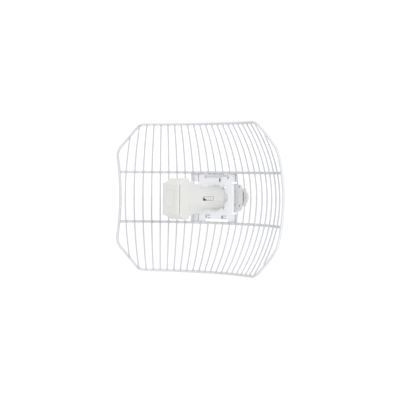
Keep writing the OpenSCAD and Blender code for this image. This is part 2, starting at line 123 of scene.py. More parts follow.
def wire_top(i):
    """The height at which wire i meets the rim."""
    if abs(i) < WIRES_EACH_SIDE - 1:
        return RIM_Z + SINK
    slope = (RIM_Z - SIDE_CORNER_Z) / (SIDE_CORNER_A - TOP_CORNER_A)
    return RIM_Z - slope * (abs(i) * PITCH - TOP_CORNER_A) - SINK


def rounded_corner(before, corner, after, steps):
    """Places along a soft corner."""
    out = []
    for k in range(steps + 1):
        f = k / steps
        out.append(before.lerp(corner, f).lerp(corner.lerp(after, f), f))
    return out


def rim_places():
    """The rim's outline as (a, z) places, closed."""
    top = Vector((TOP_CORNER_A, RIM_Z))
    side = Vector((SIDE_CORNER_A, SIDE_CORNER_Z))
    chamfer = (side - top).normalized() * CORNER_LEN
    top_end = top - Vector((CORNER_LEN, 0))
    quarter = [Vector((0, RIM_Z)).lerp(top_end, k / 30) for k in range(30)]
    quarter += rounded_corner(top_end, top, top + chamfer, 8)
    quarter += [(top + chamfer).lerp(side - chamfer, k / 10) for k in range(1, 10)]
    side_next = side_place(SIDE_CORNER_Z - CORNER_LEN)
    quarter += rounded_corner(side - chamfer, side, side_next, 8)
    quarter += [side_place(side_next[1] * (1 - k / 16)) for k in range(1, 16)]
    flip = [Vector((p[0], -p[1])) for p in reversed(quarter[1:])]
    half = quarter + [side_place(0)] + flip
    other = [Vector((-p[0], -p[1])) for p in quarter]
    other_flip = [Vector((-p[0], p[1])) for p in reversed(quarter[1:])]
    return half + other + [Vector((-SIDE_A, 0))] + other_flip


# ---- Mesh making, in millimetres from the vertex ----

SAME_PLACE = 2e-6  # metres
# How strongly outstanding edges take the painted highlight
EDGE_HIGHLIGHT_GAIN = 2.2


def turns(count):
    """Even angles round a full circle."""
    return [2 * math.pi * k / count for k in range(count)]


def linked(name, data):
    """A new object in the scene."""
    obj = bpy.data.objects.new(name, data)
    bpy.context.scene.collection.objects.link(obj)
    return obj


def new_object(name, points, faces):
    """A mesh object with its own origin at the row frame's origin."""
    mesh = bpy.data.meshes.new(name)
    mesh.from_pydata([to_row(*p) for p in points], [], faces)
    obj = linked(name, mesh)
    with_bmesh(obj, lambda bm: bmesh.ops.recalc_face_normals(bm, faces=bm.faces))
    return obj


def with_bmesh(obj, change):
    """Runs one change on the object's mesh."""
    bm = bmesh.new()
    bm.from_mesh(obj.data)
    change(bm)
    bm.to_mesh(obj.data)
    bm.free()


class Shape:
    """Points and faces gathered for one piece."""

    def __init__(self):
        self.points = []
        self.faces = []

    def loft(self, rings, capped=True, round_trip=False):
        """Skins rings of equal length, with capped ends or joined round."""
        start = len(self.points)
        n = len(rings[0])
        for ring in rings:
            self.points += [Vector(p) for p in ring]
        spans = len(rings) if round_trip else len(rings) - 1
        for k in range(spans):
            low, high = start + k * n, start + (k + 1) % len(rings) * n
            for s in range(n):
                t = (s + 1) % n
                self.faces.append((low + s, low + t, high + t, high + s))
        if capped and not round_trip:
            last = start + (len(rings) - 1) * n
            self.faces.append(tuple(range(start, start + n)))
            self.faces.append(tuple(range(last, last + n)))
        return self

    def tube(self, middles, ups, radii, sides=16, closed=False):
        """A round bar along middles; ups fix its seam."""
        rings = []
        count = len(middles)
        for k, middle in enumerate(middles):
            after = middles[(k + 1) % count] if closed else middles[min(k + 1, count - 1)]
            before = middles[k - 1] if closed or k else middles[0]
            along = (after - before).normalized()
            side = along.cross(ups[k]).normalized()
            up = side.cross(along)
            rings.append([
                middle + radii[k] * (math.cos(t) * side + math.sin(t) * up) for t in turns(sides)
            ])
        return self.loft(rings, round_trip=closed)

    def ball(self, middle, axes, steps=8):
        """A stretched ball; axes are its three half axes."""
        rings = []
        for k in range(steps + 1):
            polar = math.pi * (0.03 + 0.94 * k / steps)
            rings.append([
                middle
                + axes[0] * math.sin(polar) * math.cos(t)
                + axes[1] * math.sin(polar) * math.sin(t)
                + axes[2] * math.cos(polar)
                for t in turns(2 * steps)
            ])
        return self.loft(rings)

    def turned(self, profile, sides=96, swell=None):
        """Turns (radius, y) places about the Y axis; a closed profile makes a ring."""
        rings = []
        for radius, y in profile:
            ring = []
            for turn in turns(sides):
                r = radius - (swell(turn, radius) if swell else 0)
                ring.append((r * math.cos(turn), y, r * math.sin(turn)))
            rings.append(ring)
        return self.loft(rings, round_trip=profile[0][0] > 0.5 and profile[-1][0] > 0.5)

    def block(self, low, high, soft=0.4):
        """A block between two corners, with softened edges, as a stack of rings along Y."""
        low, high = zip(*(sorted(pair) for pair in zip(low, high)))
        w, h = (high[0] - low[0]) / 2, (high[2] - low[2]) / 2
        middle = ((low[0] + high[0]) / 2, (low[2] + high[2]) / 2)
        steps = [(low[1], soft), (low[1] + 0.3 * soft, 0.3 * soft), (low[1] + soft, 0)]
        steps += [(high[1] - soft, 0), (high[1] - 0.3 * soft, 0.3 * soft), (high[1], soft)]
        return self.loft([box_ring(y, w - e, h - e, soft, middle) for y, e in steps])

    def build(self, name="part"):
        return new_object(name, self.points, self.faces)


def block(low, high, soft=0.4):
    """A softened block as an object of its own."""
    return Shape().block(low, high, soft).build()


def turned(profile, sides, swell=None, name="part"):
    """A turned object."""
    return Shape().turned(profile, sides, swell).build(name)


def eight_ring(y, w, wz, hw, h, soft, middle=(0, 0), steps=5):
    """A ring with eight soft corners: (w, wz) and (hw, h) are the corners' middles."""
    lean = math.atan2(w - hw, h - wz) if h - wz > 1e-6 and w - hw > 1e-6 else math.pi / 4
    spans = [(w, wz, 0, lean), (hw, h, lean, math.pi / 2)]
    spans += [(-x, z, math.pi - end, math.pi - start) for x, z, start, end in reversed(spans)]
    below = [(-x, -z, math.pi + start, math.pi + end) for x, z, start, end in spans[:2]]
    below += [(x, -z, -end, -start) for x, z, start, end in reversed(spans[:2])]
    ring = []
    for x, z, start, end in spans + below:
        for k in range(steps + 1):
            turn = start + (end - start) * k / steps
            out, up = soft * math.cos(turn), soft * math.sin(turn)
            ring.append((middle[0] + x + out, y, middle[1] + z + up))
    return ring


def box_ring(y, half_w, half_h, soft, middle=(0, 0), steps=5):
    """A rounded rectangle as a ring, with its outer half sizes."""
    soft = max(0.05, min(soft, half_w - 0.01, half_h - 0.01))
    w, h = half_w - soft, half_h - soft
    return eight_ring(y, w, h, w, h, soft, middle, steps)


def combine(obj, others, operation):
    """Adds, cuts or keeps the common part of the others, which are used up."""
    for other in others:
        modifier = obj.modifiers.new("combine", "BOOLEAN")
        modifier.operation = operation
        modifier.solver = "EXACT"
        modifier.object = other
        mesh = worked_out(obj)
        obj.modifiers.clear()
        obj.data = mesh
        bpy.data.objects.remove(other)
    return obj


def worked_out(obj):
    """The object's mesh with its modifiers or curve settings worked out."""
    bpy.context.view_layer.update()
    shown = obj.evaluated_get(bpy.context.evaluated_depsgraph_get())
    return bpy.data.meshes.new_from_object(shown)


def merge(obj, others):
    """Puts the others' meshes into obj, side by side; the others are used up."""

    def change(bm):
        for other in others:
            bm.from_mesh(other.data)

    with_bmesh(obj, change)
    for other in others:
        bpy.data.objects.remove(other)


def flat_sheet(name, outline, holes, low, high, soft=0.2, upright=False):
    """A flat sheet with holes and softened edges, in X and Z, or upright, in X and Y."""
    curve = bpy.data.curves.new(name, "CURVE")
    curve.dimensions = "2D"
    curve.fill_mode = "BOTH"
    for loop, wanted in [(outline, 1)] + [(hole, -1) for hole in holes]:
        area = sum(p[0] * q[1] - q[0] * p[1] for p, q in zip(loop, loop[1:] + loop[:1]))
        places = loop if area * wanted > 0 else loop[::-1]
        spline = curve.splines.new("POLY")
        spline.points.add(len(places) - 1)
        for point, place in zip(spline.points, places):
            point.co = (place[0], place[1], 0, 1)
        spline.use_cyclic_u = True
    curve.offset = -soft
    curve.bevel_depth = soft
    curve.bevel_resolution = 2
    curve.extrude = (high - low) / 2 - soft
    flat = linked(name, curve)
    mesh = worked_out(flat)
    middle = (low + high) / 2
    if upright:
        points = [(v.co.x, v.co.y, middle + v.co.z) for v in mesh.vertices]
    else:
        points = [(v.co.x, middle + v.co.z, v.co.y) for v in mesh.vertices]
    faces = [tuple(p.vertices) for p in mesh.polygons]
    bpy.data.objects.remove(flat)
    obj = new_object(name, points, faces)
    with_bmesh(obj, lambda bm: bmesh.ops.remove_doubles(bm, verts=bm.verts, dist=SAME_PLACE))
    with_bmesh(obj, lambda bm: bmesh.ops.recalc_face_normals(bm, faces=bm.faces))
    return obj


def bent_sheet(shape, profile, heights, thick, holes=()):
    """Adds a sheet along an XY profile, between heights; holes are (from, to, low, high)."""
    lengths = [0.0]
    for p, q in zip(profile, profile[1:]):
        lengths.append(lengths[-1] + math.dist(p, q))
    start = len(shape.points)
    sides = []
    for k, place in enumerate(profile):
        before, after = profile[max(k - 1, 0)], profile[min(k + 1, len(profile) - 1)]
        run = Vector((after[0] - before[0], after[1] - before[1])).normalized()
        sides.append((Vector(place), Vector((-run[1], run[0]))))
    rows, columns = len(profile), len(heights)
    for face in (0, thick):
        for place, out in sides:
            p = place + out * face
            shape.points += [Vector((p[0], p[1], z)) for z in heights]

    def add(*corners):
        shape.faces.append(
            tuple(start + (face * rows + k) * columns + j for face, k, j in corners)
        )

    def solid(k, j):
        if not (0 <= k < rows - 1 and 0 <= j < columns - 1):
            return False
        s, z = (lengths[k] + lengths[k + 1]) / 2, (heights[j] + heights[j + 1]) / 2
        return not any(h[0] < s < h[1] and h[2] < z < h[3] for h in holes)

    for k in range(-1, rows):
        for j in range(-1, columns):
            if solid(k, j):
                add((0, k, j), (0, k + 1, j), (0, k + 1, j + 1), (0, k, j + 1))
                add((1, k, j), (1, k, j + 1), (1, k + 1, j + 1), (1, k + 1, j))
            if solid(k, j) != solid(k + 1, j) and 0 <= j < columns - 1:
                add((0, k + 1, j), (0, k + 1, j + 1), (1, k + 1, j + 1), (1, k + 1, j))
            if solid(k, j) != solid(k, j + 1) and 0 <= k < rows - 1:
                add((0, k, j + 1), (0, k + 1, j + 1), (1, k + 1, j + 1), (1, k, j + 1))


def set_attribute(mesh, name, values):
    """Gives each point a value that the finishes read."""
    layer = mesh.attributes.get(name) or mesh.attributes.new(name, "FLOAT", "POINT")
    layer.data.foreach_set("value", values)


def mark_edge_highlight(obj):
    """Keeps how far each point stands out, which the finishes turn into a painted edge highlight."""
    mesh = obj.data
    bm = bmesh.new()
    bm.from_mesh(mesh)
    values = []
    for vert in bm.verts:
        near = [edge.other_vert(vert).co for edge in vert.link_edges]
        value = 0.0
        if near:
            middle = sum(near, Vector()) / len(near)
            reach = sum((co - vert.co).length for co in near) / len(near)
            value = max(0.0, (vert.co - middle).dot(vert.normal)) / max(reach, 1e-9)
        values.append(min(1.0, value * EDGE_HIGHLIGHT_GAIN))
    bm.free()
    set_attribute(mesh, "edge", values)


def dress(obj, body, slot, nodes, angle=38, finish=None):
    """Finishes a piece: shading, material, the body it rides on and the nodes it stands for."""
    mesh = obj.data
    mark_edge_highlight(obj)
    mesh.shade_smooth()
    mesh.set_sharp_from_angle(angle=math.radians(angle))
    mesh.materials.clear()
    mesh.materials.append(FINISHES[finish or slot])
    weighted = obj.modifiers.new("flat faces stay flat", "WEIGHTED_NORMAL")
    weighted.keep_sharp = True
    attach(obj, body)
    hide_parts(*nodes)


def second_finish(obj, finish, wanted):
    """Gives another finish to the faces whose normal and middle are wanted."""
    obj.data.materials.append(FINISHES[finish])
    for face in obj.data.polygons:
        if wanted(face.normal, (face.center - VERTEX) / MM):
            face.material_index = 1


# ---- Finishes ----

FINISHES = {}


class Value:
    """A shader socket whose maths is written with Python's own operators."""

    def __init__(self, recipe, socket):
        self.recipe = recipe
        self.socket = socket

    def maths(self, operation, first, second):
        return self.recipe.add("ShaderNodeMath", {"operation": operation}, {0: first, 1: second})

    def __add__(self, other):
        return self.maths("ADD", self, other)

    __radd__ = __add__

    def __sub__(self, other):
        return self.maths("SUBTRACT", self, other)

    def __mul__(self, other):
        return self.maths("MULTIPLY", self, other)


class Recipe:
    """One material's nodes."""

    def __init__(self, name, constants):
        self.material = bpy.data.materials.new(name)
        self.material.use_nodes = True
        self.tree = self.material.node_tree
        self.shader = self.tree.nodes["Principled BSDF"]
        for socket, value in constants.items():
            self.shader.inputs[socket].default_value = value
        self.place = self.add("ShaderNodeTexCoord", out="Object")

    def add(self, kind, settings=None, inputs=None, out=0):
        """Adds a node: its settings first, then the values or links of its sockets."""
        node = self.tree.nodes.new(kind)
        for name, value in (settings or {}).items():
            if name == "stops":
                for stop, (where, colour) in zip(node.color_ramp.elements, value):
                    stop.position, stop.color = where, colour
            else:
                setattr(node, name, value)
        for name, value in (inputs or {}).items():
            if isinstance(value, Value):
                self.tree.links.new(value.socket, node.inputs[name])
            else:
                node.inputs[name].default_value = value
        return Value(self, node.outputs[out])

    def noise(self, size_mm, detail=2.0, rough=0.5, place=None):
        """Cloudy noise with features of about that size."""
        inputs = {"Scale": 1 / (size_mm * MM), "Detail": detail, "Roughness": rough}
        inputs["Vector"] = place or self.place
        return self.add("ShaderNodeTexNoise", None, inputs)

    def ramp(self, value, low, high):
        """0 below low and 1 above high, with a straight run between them."""
        settings = {"stops": [(low, (0, 0, 0, 1)), (high, (1, 1, 1, 1))]}
        return self.add("ShaderNodeValToRGB", settings, {"Fac": value})

    def tint(self, factor, first, second):
        """A colour between two."""
        inputs = {"Factor": factor}
        node = {"data_type": "RGBA", "clamp_factor": True}
        return self.add("ShaderNodeMix", node, {**inputs, 6: first, 7: second}, out=2)

    def attribute(self, name):
        return self.add("ShaderNodeAttribute", {"attribute_name": name}, out="Fac")

    def stretched(self, x, y, z):
        """The place with each axis stretched, for brushed or drawn marks."""
        settings = {"operation": "MULTIPLY"}
        return self.add("ShaderNodeVectorMath", settings, {0: self.place, 1: (x, y, z)})

    def finish(self, colour, roughness, height, depth_mm, strength):
        """Links what varies to the shader and gives the material."""
        inputs = {"Height": height, "Strength": strength, "Distance": depth_mm * MM}
        bump = self.add("ShaderNodeBump", None, inputs)
        for name, value in (("Base Color", colour), ("Roughness", roughness), ("Normal", bump)):
            self.tree.links.new(value.socket, self.shader.inputs[name])
        return self.material


def shade(colour, scale=1.0):
    """A colour made lighter or darker."""
    return tuple(min(1.0, c * scale) for c in colour[:3]) + (1.0,)


def powder_coat(name, base):
    """Polyester powder on steel: faint orange peel, thicker and duller at the welds, with a painted highlight and
    lower roughness on outstanding edges.
    """
    r = Recipe(name, {"Specular IOR Level": 0.5, "Coat Weight": 0.15, "Coat Roughness": 0.2})
    peel = r.noise(1.3, 2.0)
    grain = r.noise(0.35, 1.0)
    cloud = r.noise(24, 3.0)
    weld = r.attribute("weld")
    edge = r.attribute("edge")
    colour = r.tint(r.ramp(cloud, 0.35, 0.7) * 0.7, shade(base), shade(base, 0.965))
    colour = r.tint(weld * r.ramp(peel, 0.3, 0.7) * 0.8, colour, shade(base, 0.9))
    # Painted highlight: outstanding edges are made lighter
    colour = r.tint(edge * 0.35, colour, shade(base, 1.05))
    roughness = 0.36 + grain * 0.1 + weld * 0.12 - edge * 0.05
    return r.finish(colour, roughness, peel + grain * 0.35, 0.035, 0.6)


def moulded_plastic(name, base, size, depth):
    """Moulded plastic with a spark-eroded texture, faint flow clouds, and a painted highlight and lower roughness
    on outstanding edges.
    """
    r = Recipe(name, {"Specular IOR Level": 0.45})
    grain = r.noise(size, 2.0, 0.6)
    fine = r.noise(size * 0.4, 1.0)
    cloud = r.noise(30, 3.0)
    flow = r.noise(9, 2.0, 0.5, r.stretched(1, 0.25, 1))
    edge = r.attribute("edge")
    colour = r.tint(r.ramp(cloud, 0.35, 0.68) * 0.6, shade(base), shade(base, 0.972))
    colour = r.tint(r.ramp(flow, 0.55, 0.8) * 0.35, colour, shade(base, 1.02))
    # Painted highlight: outstanding edges are made lighter
    colour = r.tint(edge * 0.5, colour, shade(base, 1.05))
    roughness = 0.44 + grain * 0.14 - edge * 0.1
    return r.finish(colour, roughness, grain + fine * 0.5, depth, 0.7)


def rubber(base):
    """Soft seal rubber with a dull bloom."""
    r = Recipe("seal_rubber", {"Specular IOR Level": 0.3})
    grain = r.noise(0.5, 3.0)
    cloud = r.noise(8, 2.0)
    colour = r.tint(r.ramp(cloud, 0.35, 0.7), shade(base), shade(base, 0.86))
    return r.finish(colour, 0.68 + grain * 0.18, grain, 0.03, 0.6)


def circuit_board(base):
    """Green solder mask over copper tracks."""
    constants = {"Specular IOR Level": 0.5, "Coat Weight": 0.4, "Coat Roughness": 0.12}
    r = Recipe("circuit_board", constants)
    tracks = r.add("ShaderNodeTexBrick", {"offset": 0.35}, {
        "Vector": r.place, "Scale": 260.0, "Mortar Size": 0.06, "Color1": (0, 0, 0, 1),
        "Color2": (0, 0, 0, 1), "Mortar": (1, 1, 1, 1),
    })
    cloud = r.noise(3, 2.0)
    colour = r.tint(tracks * 0.55, shade(base), (0.10, 0.42, 0.17, 1))
    colour = r.tint(r.ramp(cloud, 0.4, 0.7) * 0.25, colour, shade(base, 0.7))
    return r.finish(colour, 0.3 + cloud * 0.12, tracks * 0.6 + cloud * 0.2, 0.03, 0.5)


def plated(name, base, other):
    """Plated steel: drawn marks, a little colour drift, and a painted highlight and lower roughness on outstanding
    edges.
    """
    r = Recipe(name, {"Metallic": 1.0, "Specular IOR Level": 0.5})
    marks = r.noise(0.3, 2.0, 0.6, r.stretched(1, 0.08, 1))
    cloud = r.noise(2.2, 2.0)
    edge = r.attribute("edge")
    colour = r.tint(r.ramp(cloud, 0.35, 0.65), shade(base), shade(other))
    # Painted highlight: outstanding edges are made lighter
    colour = r.tint(edge * 0.4, colour, shade(base, 1.2))
    return r.finish(colour, 0.3 + marks * 0.18 - edge * 0.08, marks, 0.01, 0.5)


def clear_plastic(base):
    """Clear moulded plastic for the light pipes."""
    constants = {"Transmission Weight": 0.75, "IOR": 1.49, "Specular IOR Level": 0.5}
    r = Recipe("clear_plastic", constants)
    cloud = r.noise(1.5, 2.0)
    colour = r.tint(r.ramp(cloud, 0.4, 0.7) * 0.5, shade(base), shade(base, 0.92))
    return r.finish(colour, 0.12 + cloud * 0.1, cloud, 0.01, 0.3)


# ---- Sizes and colours that a user would change ----


def number(name, description, default, **more):
    return bpy.props.FloatProperty(name=name, description=description, default=default, **more)


def length(name, description, default):
    return number(name, description, default, min=0.0, unit="LENGTH", precision=5)


def angle(name, description, degrees):
    return number(name, description, math.radians(degrees), subtype="ANGLE")


def power(name, description, default):
    return number(name, description, default, min=0.0, unit="POWER")


def colour(name, description, default):
    return bpy.props.FloatVectorProperty(
        name=name, description=description, default=default,
        size=4, min=0.0, max=1.0, subtype="COLOR",
    )


class ReflectorSizes(bpy.types.PropertyGroup):
    """Sizes of the reflector's bars and welds."""

    rod_radius: length("Rod radius", "Radius of the rim rod and the cross rods", 0.00246)
    wire_radius: length("Wire radius", "Radius of the upright wires", 0.0012)
    weld_along_wire: length("Weld length", "Half length of a weld along its wire", 0.0026)
    weld_along_rod: length("Weld width", "Half width of a weld along its rod", 0.0021)
    weld_depth: length("Weld depth", "Half depth of a weld", 0.0011)
    rod_end_flare: length("Rod end flare", "How much the weld at a rod's end widens it", 0.0011)


class FeedSizes(bpy.types.PropertyGroup):
    """Sizes of the feed's edges."""

    cover_chamfer: length("Cover chamfer", "Width of the sloping edge of the front cover", 0.0032)
    panel_depth: length("Panel depth", "Depth of the front cover's panel", 0.0003)
    wall: length("Wall", "Wall of the feed body", 0.002)
    window_soft: length("Window corner", "Radius of the latch window's corners", 0.0012)


class RearSizes(bpy.types.PropertyGroup):
    """Sizes of the housing, the lock nut and the mast bracket."""

    grip_depth: length("Grip depth", "Depth of the lock nut's finger grooves", 0.001)
    tooth_depth: length("Tooth depth", "Depth of the saddle's teeth", 0.0008)
    edge: length("Edge", "Radius of the bracket's edges", 0.0025)


class FinishColours(bpy.types.PropertyGroup):
    """Base colours of the finishes."""

    coated_steel: colour("Powder coat", "Reflector and centre plate", (0.66, 0.665, 0.69, 1))
    # The rods' and the wires' coats are darker copies of the powder coat: painted shade on the round bars
    coated_rod: colour("Powder coat on the rods", "Rim rod and cross rods", (0.50, 0.505, 0.53, 1))
    coated_wire: colour("Powder coat on the wires", "Upright wires", (0.44, 0.445, 0.47, 1))
    feed_plastic: colour("Feed plastic", "Feed body, cover and latch", (0.52, 0.52, 0.506, 1))
    housing_plastic: colour("Housing plastic", "Housing, nut and bracket", (0.48, 0.48, 0.47, 1))
    # Near-black inside of the feed body: painted shade in its hollow
    shield_paint: colour("Shield paint", "Inside of the feed body", (0.09, 0.09, 0.09, 1))
    bearing_plastic: colour("Bearing plastic", "Shells, posts and button", (0.28, 0.28, 0.29, 1))
    seal_rubber: colour("Seal", "Seal behind the front cover", (0.17, 0.17, 0.15, 1))
    board_green: colour("Board", "Solder mask", (0.03, 0.22, 0.10, 1))
    plated_steel: colour("Plated steel", "Shields, pins and the socket", (0.68, 0.69, 0.70, 1))
    yellow_zinc: colour("Yellow zinc", "Housing screws", (0.74, 0.73, 0.62, 1))
    clear: colour("Clear plastic", "Light pipes", (0.86, 0.92, 0.92, 1))
    floor: colour("Floor", "Pale floor", (0.97, 0.97, 0.97, 1))


SHIELD_SHADE, ZINC_SHADE = (0.60, 0.61, 0.63), (0.66, 0.65, 0.56)


class ANTENNA_OT_finishes(bpy.types.Operator):
    """Makes the finishes and gives them to the nodes that stay as they are"""

    bl_idname = "antenna.finishes"
    bl_label = "Finishes"

    def execute(self, context):
        c = context.scene.antenna_colours
        FINISHES.update(
            # Painted shade: the rods and the wires take darker copies of the same powder coat
            coated_steel=powder_coat("powder_coat", c.coated_steel),
            coated_rod=powder_coat("powder_coat_rods_painted_shade", c.coated_rod),
            coated_wire=powder_coat("powder_coat_wires_painted_shade", c.coated_wire),
            feed_plastic=moulded_plastic("feed_plastic", c.feed_plastic, 0.32, 0.012),
            housing_plastic=moulded_plastic("housing_plastic", c.housing_plastic, 0.45, 0.02),
            bearing_plastic=moulded_plastic("bearing_plastic", c.bearing_plastic, 0.3, 0.008),
            seal_rubber=rubber(c.seal_rubber),
            circuit_board=circuit_board(c.board_green),
            # Painted shade: the feed body's inner walls take a near-black finish
            shield_paint=moulded_plastic("shield_paint", c.shield_paint, 0.3, 0.01),
            plated_steel=plated("plated_steel", c.plated_steel, SHIELD_SHADE),
            yellow_zinc=plated("yellow_zinc", c.yellow_zinc, ZINC_SHADE),
            clear_plastic=clear_plastic(c.clear),
        )
        for part in frame["record"]["subparts"]:
            node = frame["nodes"][part["node"]]
            if not node.material_slots:
                node.data.materials.append(None)
            for slot in node.material_slots:
                slot.link = "OBJECT"
                slot.material = FINISHES[part["material_slot"]]
        return {"FINISHED"}


# ---- Rods and wires ----

WIRE_STEP, FLARE_LEN = 3.2, 3.2
WIRE_WELD_REACH, ROD_WELD_REACH = 0.0042, 0.0048  # metres
ROD_END_STEPS = (0.0, 0.6, 1.3, 2.1, FLARE_LEN)


def weld_attribute(obj, welds, reach):
    """Marks the points near a weld, for the finish."""
    values = []
    for vert in obj.data.vertices:
        near = min(((vert.co - weld).length for weld in welds), default=1.0)
        values.append(max(0.0, 1 - near / reach) ** 0.7)
    set_attribute(obj.data, "weld", values)


def make_wire(node, i, low, high, sizes):
    """One upright wire with its welds."""
    radius = sizes.wire_radius / MM
    ends = [0.0, 0.25, 1.0]
    taper = [radius * r for r in (0.5, 0.86, 1)]
    count = max(12, round((high - low) / WIRE_STEP))
    heights = [low + e for e in ends]
    heights += [low + 1 + (high - low - 2) * k / count for k in range(1, count)]
    heights += [high - e for e in reversed(ends)]
    radii = taper + [radius] * (count - 1) + taper[::-1]
    a = i * PITCH
    ups = [back_normal(a, z) for z in heights]
    shape = Shape().tube([on_grid(a, z) for z in heights], ups, radii)
    welds = []
    for z in (wire_top(i), CROSS_Z, -CROSS_Z, -wire_top(i)):
        if low - 1.5 <= z <= high + 0.5:
            z = max(z, low + 1.2)
            back = back_normal(a, z)
            up = (on_grid(a, z + 1) - on_grid(a, z - 1)).normalized()
            along = back.cross(up)
            middle = on_grid(a, min(z, high - 1.2)) + back * (WIRE_D / 2 - 0.1)
            axes = (
                along * sizes.weld_along_rod / MM,
                back * sizes.weld_depth / MM,
                up * sizes.weld_along_wire / MM,
            )
            shape.ball(middle, axes)
            welds.append(to_row(*middle))
    obj = shape.build(f"{node}_bar")
    weld_attribute(obj, welds, WIRE_WELD_REACH)
    # The wire takes the darker copy of the powder coat: painted shade
    dress(obj, "antenna", "coated_steel", [node], angle=60, finish="coated_wire")


def make_rod(node, places, closed, flare, sizes):
    """One rod behind the wires; flare widens its ends where they are welded."""
    radius = sizes.rod_radius / MM
    middles = [behind_grid(*p) for p in places]
    ends = (middles[0], middles[-1])
    radii = []
    for middle in middles:
        off = min((middle - end).length for end in ends)
        radii.append(radius + flare * max(0.0, 1 - off / FLARE_LEN) ** 2)
    ups = [back_normal(*p) for p in places]
    obj = Shape().tube(middles, ups, radii, sides=24, closed=closed).build(f"{node}_bar")
    if closed:
        welds = [on_grid(i * PITCH, s * wire_top(i)) for i in WIRES for s in (1, -1)]
    else:
        welds = [on_grid(i * PITCH, places[0][1]) for i in WIRES] + list(ends)
    weld_attribute(obj, [to_row(*w) for w in welds], ROD_WELD_REACH)
    # The rod takes the darker copy of the powder coat: painted shade
    dress(obj, "antenna", "coated_steel", [node], angle=60, finish="coated_rod")


class ANTENNA_OT_rods(bpy.types.Operator):
    """Makes the rim rod and the two cross rods"""

    bl_idname = "antenna.rods"
    bl_label = "Rim and cross rods"

    def execute(self, context):
        sizes = context.scene.antenna_reflector
        make_rod("rim_rod", rim_places(), True, 0, sizes)
        reach = side_place(CROSS_Z)[0] - ROD_D / 2 + 0.6
        near_end = [reach - e for e in ROD_END_STEPS]
        run = [near_end[-1] * (1 - k / 40) for k in range(1, 80)]
        lengths = near_end + run + [-a for a in reversed(near_end)]
        flare = sizes.rod_end_flare / MM
        for word, side in (("upper", 1), ("lower", -1)):
            places = [(a, side * CROSS_Z) for a in lengths]
            make_rod(f"cross_rod_{word}", places, False, flare, sizes)
        return {"FINISHED"}


class ANTENNA_OT_wires(bpy.types.Operator):
    """Makes the upright wires and their welds"""

    bl_idname = "antenna.wires"
    bl_label = "Upright wires"

    def execute(self, context):
        sizes = context.scene.antenna_reflector
        for k in range(1, WIRES_EACH_SIDE - CUT_EACH_SIDE + 1):
            for word, side in (("left", -1), ("right", 1)):
                i = side * (k + CUT_EACH_SIDE)
                make_wire(f"wire_{word}_{k}", i, -wire_top(i), wire_top(i), sizes)
        start = CROSS_Z - WIRE_D / 2
        for k in range(1, 2 * CUT_EACH_SIDE + 2):
            i = k - 1 - CUT_EACH_SIDE
            make_wire(f"wire_upper_{k}", i, start, wire_top(i), sizes)
            make_wire(f"wire_lower_{k}", i, -wire_top(i), -start, sizes)
        return {"FINISHED"}


# ---- Centre plate ----

PLATE_FRONT, PLATE_BACK = -1.0, 0.5
PLATE_W, PLATE_H = 42.6, 45.5
NOTCH_W, NOTCH_Z = 25.0, 39.9
TAB_X, TAB_H, TAB_END = 37.0, 27.0, 11.0
SCREWS = [(x, z) for x in (-16.6, 16.6) for z in (-19.4, 19.4)]
SCREW_R, DISC_R = 2.1, 17.25
WING_Z, WINDOW_Z, WINDOW_LEN = 30.0, 14.3, 8.1
# Width and forward bend of the wings, left and right
WINGS = {-1: (15.0, math.radians(13)), 1: (2.2, math.radians(-5))}


def soft_loop(corners, radius=1.0, steps=4):
    """A closed loop with its corners softened."""
    out = []
    places = [Vector(corner) for corner in corners]
    for before, p, after in zip(places[-1:] + places, places, places[1:] + places[:1]):
        r = min(radius, 0.45 * (p - before).length, 0.45 * (p - after).length)
        first, last = p + (before - p).normalized() * r, p + (after - p).normalized() * r
        out += [tuple(q) for q in rounded_corner(first, p, last, steps)]
    return out


def circle_loop(x, z, radius, steps=24):
    return [(x + radius * math.cos(t), z + radius * math.sin(t)) for t in turns(steps)]


def lanced_tab(x0, x1, z0, z1, leg, bar):
    """The slot round three sides of a tongue, open towards x1."""
    corners = [(x0, z0), (x1, z0), (x1, z0 + bar), (x0 + leg, z0 + bar), (x0 + leg, z1 - bar)]
    return soft_loop(corners + [(x1, z1 - bar), (x1, z1), (x0, z1)], 0.4)


